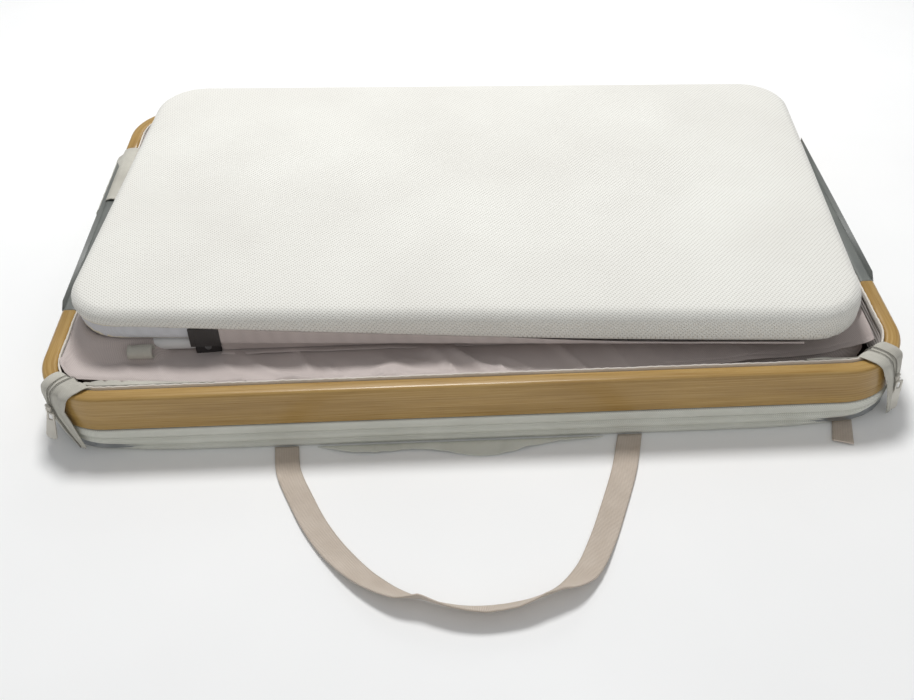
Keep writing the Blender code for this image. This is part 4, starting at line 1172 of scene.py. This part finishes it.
def swell(obj, pressure, cap, frames=20):
    """Blows the pad up under pressure. The foam stops it going in, and the cap limits how far it goes out."""
    finish_with(obj, "REMESH", mode="VOXEL", voxel_size=0.006)
    start = positions(obj).copy()
    facing = np.zeros(len(start) * 3)
    obj.data.vertices.foreach_get("normal", facing)
    facing = facing.reshape(-1, 3)
    take(obj)
    modifier = obj.modifiers.new("cloth", "CLOTH")
    settings = modifier.settings
    settings.quality = 4
    settings.mass = 0.3
    settings.tension_stiffness = 20.0
    settings.compression_stiffness = 20.0
    settings.shear_stiffness = 8.0
    settings.bending_stiffness = 0.8
    settings.use_pressure = True
    settings.uniform_pressure_force = pressure
    settings.effector_weights.gravity = 0.0
    modifier.point_cache.frame_start = 1
    modifier.point_cache.frame_end = frames
    scene = bpy.context.scene
    for step in range(1, frames + 1):
        scene.frame_set(step)
    bpy.ops.object.modifier_apply(modifier=modifier.name)
    moved = positions(obj) - start
    inward = np.minimum(np.einsum("ij,ij->i", moved, facing), 0.0)
    moved -= inward[:, None] * facing
    far = np.linalg.norm(moved, axis=1)
    keep = np.minimum(1.0, cap / np.maximum(far, 1e-9))
    obj.data.vertices.foreach_set("co", (start + moved * keep[:, None]).ravel())
    obj.data.update()
    scene.frame_set(1)
    finish_with(obj, "SUBSURF", levels=1, render_levels=1)


def make_mattress():
    """A foam pad in a zipped cover: knitted mesh over its top and sides, a smooth shell below the seam."""
    roll, foot = 0.0125, 0.0075
    profile = []
    for k in range(7):
        angle = math.pi / 2 * k / 6
        profile.append((foot - foot * math.sin(angle), PAD_BOTTOM + foot - foot * math.cos(angle)))
    for k in range(9):
        angle = math.pi / 2 * k / 8
        profile.append((roll - roll * math.cos(angle), PAD_TOP - roll + roll * math.sin(angle)))
    grid = []
    for inset, z in profile:
        grid.append([(p.x, p.y, z) for p, _ in pad_outline(inset)])
    grid = np.array(grid).transpose(1, 0, 2)
    pad = cloth("pad", grid, PAD_MESH, closed=True, caps=True)
    swell(pad, 4.0, 0.0012)
    take(pad)
    at = positions(pad)
    edge = PAD_HALF_X - np.abs(at[:, 0])
    edge = np.minimum(edge, PAD_HALF_Y - np.abs(at[:, 1]))
    slack = folds(at, 0.09, 51, 1)
    at[:, 2] += 0.0006 * slack * (at[:, 2] > PAD_TOP - 0.004) * np.clip(edge / 0.06, 0, 1)
    pad.data.vertices.foreach_set("co", at.ravel())
    lower = copied(pad, "pad_underside_shell", Matrix.Identity(4))
    for obj, clear_up in [(pad, False), (lower, True)]:
        edit_all(obj)
        seam = PAD_SPLIT + (-0.0002 if clear_up else 0.0002)
        bpy.ops.mesh.bisect(plane_co=(-COUPLER_X, 0, seam), plane_no=(SEAM_SLOPE, 0, 1), use_fill=True,
                            clear_outer=clear_up, clear_inner=not clear_up)
        if clear_up:
            bpy.ops.mesh.select_all(action="SELECT")
            bpy.ops.transform.resize(value=(1 - SHELL_INSET / PAD_HALF_X, 1 - SHELL_INSET / PAD_HALF_Y, 1.0),
                                     center_override=(0, 0, seam))
        bpy.ops.object.mode_set(mode="OBJECT")
    pad.name = pad.data.name = "pad_mesh_cover"
    lower.data.materials.clear()
    lower.data.materials.append(PAD_SHELL)
    at = positions(pad)
    core_x, core_y = PAD_HALF_X - PAD_CORNER, PAD_HALF_Y - PAD_CORNER
    out_x = at[:, 0] - np.clip(at[:, 0], -core_x, core_x)
    out_y = at[:, 1] - np.clip(at[:, 1], -core_y, core_y)
    far = np.maximum(np.hypot(out_x, out_y), 1e-6)
    above = at[:, 2] - seam_height(at[:, 0])
    rolled = 0.0012 * np.clip(1 - above / 0.0055, 0, 1) ** 2 * (far > PAD_CORNER - 0.02)
    at[:, 0] -= out_x / far * rolled
    at[:, 1] -= out_y / far * rolled
    pad.data.vertices.foreach_set("co", at.ravel())
    down = PAD_TOP - at[:, 2]
    side = np.clip((far - PAD_CORNER + roll) / roll, 0, 1)
    lay_map(pad, at[:, 0] + out_x / far * down * side, at[:, 1] + out_y / far * down * side)
    turn = Matrix.Translation(PAD_SHIFT) @ Matrix.Rotation(PAD_TURN, 4, "Z")
    for obj in (pad, lower):
        obj.data.transform(turn)
        obj.data.shade_smooth()
    settle(pad, "mattress", ["mattress_top_cover"])
    settle(lower, "mattress", ["mattress_bottom_cover"])


# ---------------------------------------------------------------- fabric strips, zips and pullers


def strip_path(drop, inner, belly, lean):
    """(inset, height) down the middle of a strip: tucked in behind the rail, over it, and down outside."""
    over = RAIL_TOP + 0.0022
    path = [(inner, RAIL_TOP - 0.017), (inner, RAIL_TOP - 0.006), (inner - 0.0010, over - 0.0018),
            (inner - 0.0050, over + 0.0002), (RAIL_WIDTH * 0.6, over + 0.0006), (0.0052, over),
            (0.0006, over - 0.0026), (-0.0021, over - 0.0075)]
    for share in (0.25, 0.5, 0.75, 1.0):
        z = over - 0.0075 + (drop - over + 0.0075) * share
        path.append((-0.0021 - belly * math.sin(math.pi * share) - lean * share, z))
    return [(p.x, p.y) for p in smooth_curve([(a, b, 0.0) for a, b in path], 6)]


def make_strip(name, node, way, wide, drop, inner, belly, lean, pleats, seed, coils):
    """A draped strip. way and wide give its middle's way out and its width and drift along its length."""
    path = strip_path(drop, inner, belly, lean)
    gone = [0.0]
    for a, b in zip(path, path[1:]):
        gone.append(gone[-1] + math.dist(a, b))
    columns, rows = 49, len(path)
    grid, u, v = bare_grid(columns, rows)
    raised = np.zeros((columns, rows, 3))
    for j, ((inset, z), far) in enumerate(zip(path, gone)):
        share = far / gone[-1]
        place, out = way(share)
        along = Vector((-out.y, out.x))
        width, drift = wide(share)
        before, after = path[max(j - 1, 0)], path[min(j + 1, rows - 1)]
        step = Vector((after[0] - before[0], after[1] - before[1])).normalized()
        for i in range(columns):
            side = i / (columns - 1) - 0.5
            spot = place - inset * out + (side * width + drift) * along
            grid[i, j] = (spot.x, spot.y, z)
            raised[i, j] = (-step.y * out.x, -step.y * out.y, -step.x)
            u[i, j] = far
            v[i, j] = side * width
    sides = np.linspace(-0.5, 0.5, columns)[:, None]
    fold = np.abs(np.sin(math.pi * (pleats * (sides + 0.5) + 0.25 * folds(
        np.stack([u.ravel() * 0.5, v.ravel() * 0.4, v.ravel() * 0], 1), 0.02, seed).reshape(u.shape))))
    laid = np.stack([v.ravel(), u.ravel() * 0.5, v.ravel() * 0], 1)
    crumple = np.abs(folds(laid, 0.011, seed + 7).reshape(u.shape))
    grid += raised * (0.0016 * fold * (pleats > 0) + 0.0007 * crumple)[..., None]
    strip = cloth(name, grid, SAGE_STRIP, u, v, thickness=0.0010, offset=1.0)
    settle(strip, "top_rail", [node])
    for number, offset in enumerate(coils):
        make_coil(f"{name}_coil_{number + 1}", grid, offset)
    widths = [wide(g / gone[-1])[0] for g in gone]


def make_coil(name, grid, offset):
    """A zip coil sewn along a strip: a fine beaded cord."""
    columns = grid.shape[0]
    share = (offset + 0.5) * (columns - 1)
    i = min(int(share), columns - 2)
    line = grid[i] + (grid[i + 1] - grid[i]) * (share - i)
    across = grid[i + 1] - grid[i]
    across /= np.maximum(np.linalg.norm(across, axis=1), 1e-9)[:, None]
    ahead = np.gradient(line, axis=0)
    ahead /= np.maximum(np.linalg.norm(ahead, axis=1), 1e-9)[:, None]
    out = np.cross(across, ahead)
    middle = line[len(line) // 2]
    if out[len(line) // 2] @ (middle - np.array([middle[0] * 0.8, middle[1] * 0.8, 0.03])) < 0:
        out = -out
    radius = 0.0008
    length = np.concatenate([[0.0], np.cumsum(np.linalg.norm(np.diff(line, axis=0), axis=1))])
    fine = np.arange(0.010, length[-1] - 0.001, 0.0007)
    line, across, out = (np.stack([np.interp(fine, length, part[:, k]) for k in range(3)], 1)
                         for part in (line, across, out))
    bead = 0.75 + 0.25 * np.cos(np.arange(len(fine)) * math.pi)
    sides = 6
    rings = np.zeros((sides, len(fine), 3))
    for k in range(sides):
        angle = 2 * math.pi * k / sides
        rings[k] = line + out * 0.0012 + (radius * bead)[:, None] * (
            math.cos(angle) * across + math.sin(angle) * 0.7 * out)
    around_it = np.repeat(np.arange(sides)[:, None] * 0.0008, len(fine), 1)
    piece = cloth_tube(name, rings, ZIP_COIL, np.repeat(fine[None, :], sides, 0), around_it)
    return settle(piece, "top_rail", [])


def cloth_tube(name, rings, look, u, v):
    """A closed tube from rows of points that run along it, with its ends filled."""
    sides, long = rings.shape[:2]
    mesh = bpy.data.meshes.new(name)
    index = np.arange(sides * long).reshape(sides, long)
    ends = [index[:, 0].tolist(), index[::-1, -1].tolist()]
    mesh.from_pydata(rings.reshape(-1, 3).tolist(), [], grid_faces(np.vstack([index, index[:1]])) + ends)
    obj = bpy.data.objects.new(name, mesh)
    bpy.context.scene.collection.objects.link(obj)
    take(obj)
    lay_map(obj, u.ravel(), v.ravel())
    done(name, look, 50.0)
    return obj


def corner_spot(side, angle):
    out = Vector((side * math.cos(angle), -math.sin(angle)))
    return Vector((side * CORE_X, -CORE_Y)) + CORNER * out, out


PULL_ASIDE = 0.007  # towards the strip's outer edge
LEFT_SASH = math.radians(46)
RIGHT_SASH = math.radians(45)


def make_strips():
    """Unzipped strips of the side wall: a sash over each front corner, and a loose loop at the rear left."""

    def left_way(share):
        hanging = math.radians(68) * max(0, share - 0.55)
        return corner_spot(-1, LEFT_SASH + math.radians(22) * (0.55 - share) + hanging)

    def left_wide(share):
        taper = max(0.0, (share - 0.50) / 0.50)
        return 0.047 - 0.012 * share - 0.027 * taper**1.4, 0.0

    def right_way(share):
        hanging = math.radians(14) * max(0, share - 0.6)
        return corner_spot(1, RIGHT_SASH + math.radians(24) * (0.5 - share) + hanging)

    def right_wide(share):
        taper = max(0.0, (share - 0.45) / 0.55)
        return 0.040 - 0.008 * share - 0.018 * taper, 0.0

    def rear_way(share):
        return Vector((-HALF_X, 0.128)), Vector((-1.0, 0.0))

    def rear_wide(share):
        return 0.140 - 0.016 * math.sin(math.pi * share), 0.0

    make_strip("sash_left", "zip_strip_front_left", left_way, left_wide, drop=0.009, inner=0.0222,
               belly=0.0010, lean=0.0010, pleats=3, seed=61, coils=(-0.20, -0.04))
    make_strip("sash_right", "zip_strip_front_right", right_way, right_wide, drop=0.003, inner=0.0232,
               belly=0.0010, lean=0.0070, pleats=2, seed=62, coils=(-0.10, 0.08))
    make_strip("rear_loop", "zip_strip_rear_left", rear_way, rear_wide, drop=0.046, inner=0.0212,
               belly=0.0110, lean=0.0012, pleats=0, seed=63, coils=())


def make_wall_leaves():
    """Pale edges of the side wall between the liner's front and the rail, near both front corners."""
    for name, x_from, x_to, deep, seed in [("wall_leaf_left", -0.398, -0.262, 0.019, 65),
                                           ("wall_leaf_right", 0.340, 0.394, 0.011, 66)]:
        columns, rows = 90, 14
        grid, u, v = bare_grid(columns, rows)
        for i in range(columns):
            share = i / (columns - 1)
            x = x_from + (x_to - x_from) * share
            if seed == 65:
                reach = deep * (1 - 0.75 * share**1.4) * min(1.0, 0.55 + share * 4)
            else:
                reach = deep * math.sin(math.pi * min(1.0, 0.12 + 0.86 * share)) ** 0.7
            over_x = max(abs(x) - CORE_X, 0.0)
            wall = -(CORE_Y + math.sqrt((CORNER - RAIL_WIDTH - 0.0030) ** 2 - over_x**2))
            for j in range(rows):
                out = j / (rows - 1)
                grid[i, j] = (x, wall + reach * out, RAIL_TOP + 0.0010 - 0.0085 * out**1.6)
                u[i, j], v[i, j] = x, math.hypot(reach * out, 0.0085 * out)
        ripple = np.abs(folds(grid.reshape(-1, 3) * np.array([1, 0.5, 1]), 0.022, seed)).reshape(u.shape)
        crease = creases(grid.reshape(-1, 3) * np.array([1, 1.6, 1]), 0.030, seed + 3).reshape(u.shape) ** 4
        out = v / np.maximum(v[:, -1:], 1e-6)
        grid[..., 2] += (0.0016 * ripple - 0.0022 * crease) * np.clip(out * 3, 0, 1)
        leaf = cloth(name, grid, SAGE_STRIP, u, v, thickness=0.0008, offset=0.0)
        settle(leaf, "top_rail", [])


def make_zip_pulls():
    """A moulded slider with a bridge, and the soft pull that hangs from it."""
    for side_name in ("left", "right"):
        low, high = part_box(f"zip_slider_{side_name}")
        puller_low, puller_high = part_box(f"zip_puller_{side_name}")
        side = -1 if side_name == "left" else 1
        _, out = corner_spot(side, LEFT_SASH if side_name == "left" else RIGHT_SASH)
        turn = Matrix.Rotation(math.atan2(out.y, out.x) + math.pi / 2, 4, "Z")
        aside = Vector((-side * out.y, side * out.x, 0.0)) * PULL_ASIDE
        aside += Vector((out.x, out.y, 0.0)) * 0.0030
        middle = (low + high) / 2 + aside
        start_block((0.0085, 0.0030, 0.0100))
        pick(lambda at, _: at.z < 0, "VERT")
        bpy.ops.transform.resize(value=(0.62, 1.0, 1.0))
        soften(0.0007, 3)
        body = done("slider_body", PULL_RUBBER, 40.0)
        start_block((0.0022, 0.0016, 0.0066), (0, -0.0021, 0.0004))
        pick(lambda at, normal: normal.y < -0.5)
        bpy.ops.transform.resize(value=(1.0, 1.0, 0.6))
        soften(0.0004, 2)
        bridge = done("slider_bridge", PULL_RUBBER, 40.0)
        join_to(body, bridge)
        body.name = body.data.name = f"slider_{side_name}"
        body.data.transform(Matrix.Translation(middle) @ turn)
        settle(body, f"slider_{side_name}", [f"zip_slider_{side_name}"])
        puller_middle = (puller_low + puller_high) / 2 + aside
        half = (puller_high.z - puller_low.z) / 2
        width = 0.0130
        fresh()
        bpy.ops.mesh.primitive_plane_add(size=1.0, rotation=(math.pi / 2, 0, 0), enter_editmode=True)
        bpy.ops.transform.resize(value=(width, 1.0, 2 * half))
        pick(lambda at, _: at.z > 0, "VERT")
        bpy.ops.transform.resize(value=(0.62, 1.0, 1.0))
        eye_top, eye_bottom, eye_side = half - 0.0022, half - 0.0105, 0.0023
        slice_across(2, [eye_top, eye_bottom])
        slice_across(0, [-eye_side, eye_side])
        pick(lambda at, _: abs(at.x) < 0.001 and eye_bottom < at.z < eye_top)
        bpy.ops.mesh.delete(type="FACE")
        pick(lambda at, _: at.z < -half + 0.0001 and abs(at.x) > width * 0.45, "VERT")
        bpy.ops.mesh.bevel(offset=width * 0.34, segments=8, affect="VERTICES")
        pull = done(f"soft_pull_{side_name}", PULL_RUBBER, 40.0)
        finish_with(pull, "SOLIDIFY", thickness=0.0018, offset=0.0)
        finish_with(pull, "BEVEL", width=0.0004, segments=2, limit_method="ANGLE")
        forward = Matrix.Rotation(math.radians(-side * 26), 4, "Z")
        swung = Matrix.Rotation(math.radians(14 if side_name == "left" else 0), 4, "Y")
        pull.data.transform(Matrix.Translation(puller_middle) @ forward @ turn @ swung)
        settle(pull, f"puller_{side_name}", [f"zip_puller_{side_name}"])


# ---------------------------------------------------------------- webbing and hems on the floor


def make_handle():
    """The carry handle: flat on the floor at its ends, its outer edge raised along the front."""
    start_y = WEB_START_Y
    route = smooth_curve([(x, start_y - reach, 0.0) for x, reach in HANDLE_ROUTE], 10)
    far = max(start_y - p.y for p in route)
    columns = 13
    grid, u, v = bare_grid(len(route), columns)
    gone = 0.0
    for i, point in enumerate(route):
        before, after = route[max(i - 1, 0)], route[min(i + 1, len(route) - 1)]
        if i:
            gone += (point - route[i - 1]).length
        ahead = (after - before).normalized()
        outward = Vector((ahead.y, -ahead.x, 0.0))
        blend = min(i, len(route) - 1 - i) / 4
        if blend < 1:
            end = Vector((-1.0 if i < len(route) / 2 else 1.0, 0.0, 0.0))
            outward = (outward * blend + end * (1 - blend)).normalized()
        share = min(max(((start_y - point.y) / far - 0.35) / 0.55, 0), 1)
        tilt = math.radians(float(np.interp(point.x, *zip(*HANDLE_TILTS))))
        up = Vector((0.0, 0.0, 1.0))
        across = outward * math.cos(tilt) + up * math.sin(tilt)
        normal = up * math.cos(tilt) - outward * math.sin(tilt)
        low_edge = Vector((point.x, point.y, WEB_LIFT)) - outward * WEB_WIDTH / 2
        for j in range(columns):
            edge = j / (columns - 1)
            curl = 0.0010 * (2 * edge - 1) ** 2 * share
            spot = low_edge + across * WEB_WIDTH * edge + normal * (WEB_THICKNESS / 2 + curl)
            grid[i, j] = spot
            u[i, j] = gone
            v[i, j] = edge * WEB_WIDTH
    grid[..., 2] += 0.0005 * np.abs(folds(grid.reshape(-1, 3), 0.03, 71)).reshape(u.shape)
    strap = cloth("webbing_handle", grid, WEBBING, u, v, thickness=0.0017, offset=0.0)
    settle(strap, "handle", ["carry_handle"])


def make_web_stub():
    """The sealed end of a webbing strap, lying askew in front of the base."""
    low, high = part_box("web_stub")
    long, wide = 24, 9
    grid, u, v = bare_grid(long, wide)
    start, end = Vector((0.3775, high.y + 0.010)), Vector((0.3690, low.y + 0.006))
    across = Vector((0.0200, -0.0005))
    for i in range(long):
        for j in range(wide):
            share, edge = i / (long - 1), j / (wide - 1)
            spot = start + (end - start) * share + across * edge + Vector((0.0, -0.0065)) * edge * share
            grid[i, j] = (spot.x, spot.y, (low.z + high.z) / 2 + 0.0014 * share**3)
            u[i, j], v[i, j] = (end - start).length * share, edge * across.length
    stub = cloth("webbing_end", grid, WEBBING, u, v, thickness=0.0017, offset=0.0)
    settle(stub, "base", ["web_stub"])


def make_front_hem():
    """The loose hem of the base cover, rippled along the floor in front of the band."""
    low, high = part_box("front_hem")
    columns, deep = 120, 14
    grid, u, v = bare_grid(columns, deep)
    reach_most = high.y - low.y
    for i in range(columns):
        share = i / (columns - 1)
        x = low.x + (high.x - low.x) * share
        wave = math.sin(math.pi * share) ** 0.7 * (0.75 + 0.25 * math.cos(4 * math.pi * (share - 0.6)))
        for j in range(deep):
            out = j / (deep - 1)
            grid[i, j] = (x, high.y - reach_most * wave * out, 0.0)
            u[i, j], v[i, j] = x, reach_most * wave * out
    ripple = np.abs(folds(grid.reshape(-1, 3) * np.array([1, 0.3, 1]), 0.028, 81)).reshape(u.shape)
    out = v / reach_most
    grid[..., 2] = low.z + 0.0006 + 0.0052 * (1 - out) * np.sin(np.clip(out * 3, 0, 1) * math.pi / 2) * 0.6
    grid[..., 2] += 0.0048 * ripple * np.clip(out * 2.5, 0, 1)
    hem = cloth("loose_hem", grid, SAGE, u, v, thickness=0.0009, offset=1.0)
    settle(hem, "base", ["front_hem"])


def make_loop_tab():
    """A folded loop of tape with a sewn end."""
    low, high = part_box("loop_tab")
    middle = (low + high) / 2
    half = (high.z - low.z) / 2
    straight = (high.y - low.y) / 2 - half
    path = []
    bend = half * 0.92
    for centre, start in [(middle.y - straight, 90), (middle.y + straight, -90)]:
        for k in range(15):
            angle = math.radians(start + 180 * k / 14)
            path.append((centre + bend * math.cos(angle), middle.z + bend * math.sin(angle)))
    path = np.array(path)
    columns = 11
    grid = np.zeros((len(path), columns, 3))
    for j in range(columns):
        edge = j / (columns - 1)
        grid[:, j, 0] = low.x + 0.003 + (high.x - low.x) * edge
        grid[:, j, 1] = path[:, 0]
        grid[:, j, 2] = path[:, 1] + TAB_LIFT
    dent = folds(grid.reshape(-1, 3), 0.009, 91).reshape(grid.shape[:2])
    top = grid[..., 2] > middle.z + TAB_LIFT
    grid[..., 2] -= 0.0016 * np.abs(dent) * top
    grid[..., 1] += 0.0008 * dent * top
    gone = lengths_along(path)
    u = np.repeat(gone[:, None], columns, 1)
    v = np.repeat(np.linspace(0, high.x - low.x, columns)[None, :], len(path), 0)
    tab = cloth("tape_loop", grid, SAGE_STRIP, u, v, closed=True, thickness=0.0013, offset=-1.0)
    settle(tab, "base", ["loop_tab"])


# ---------------------------------------------------------------- CAD pieces that stay


def finish_cad_pieces():
    """Gives each CAD piece that stays its real finish."""
    looks = {
        "_screw_": ZINC, "_rivet": ZINC, "_bracket": ZINC, "_track": ZINC, "base_hoop": ZINC,
        "_outer_arm": POWDER_COAT, "_inner_arm": POWDER_COAT, "base_board": BOARD, "mattress_core": FOAM,
    }  # fmt: skip
    for name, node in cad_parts.items():
        for part, look in looks.items():
            if part in name:
                for slot in node.material_slots:
                    slot.material = look


make_camera()
make_stage()
make_handle()
make_web_stub()
make_front_hem()
make_rails()
make_hubs()
make_rail_fabric()
make_base_band()
make_liner()
make_tubes()
make_couplers()
make_sling()
make_skirt()
make_mattress()
make_strips()
make_wall_leaves()
make_zip_pulls()
make_loop_tab()
finish_cad_pieces()
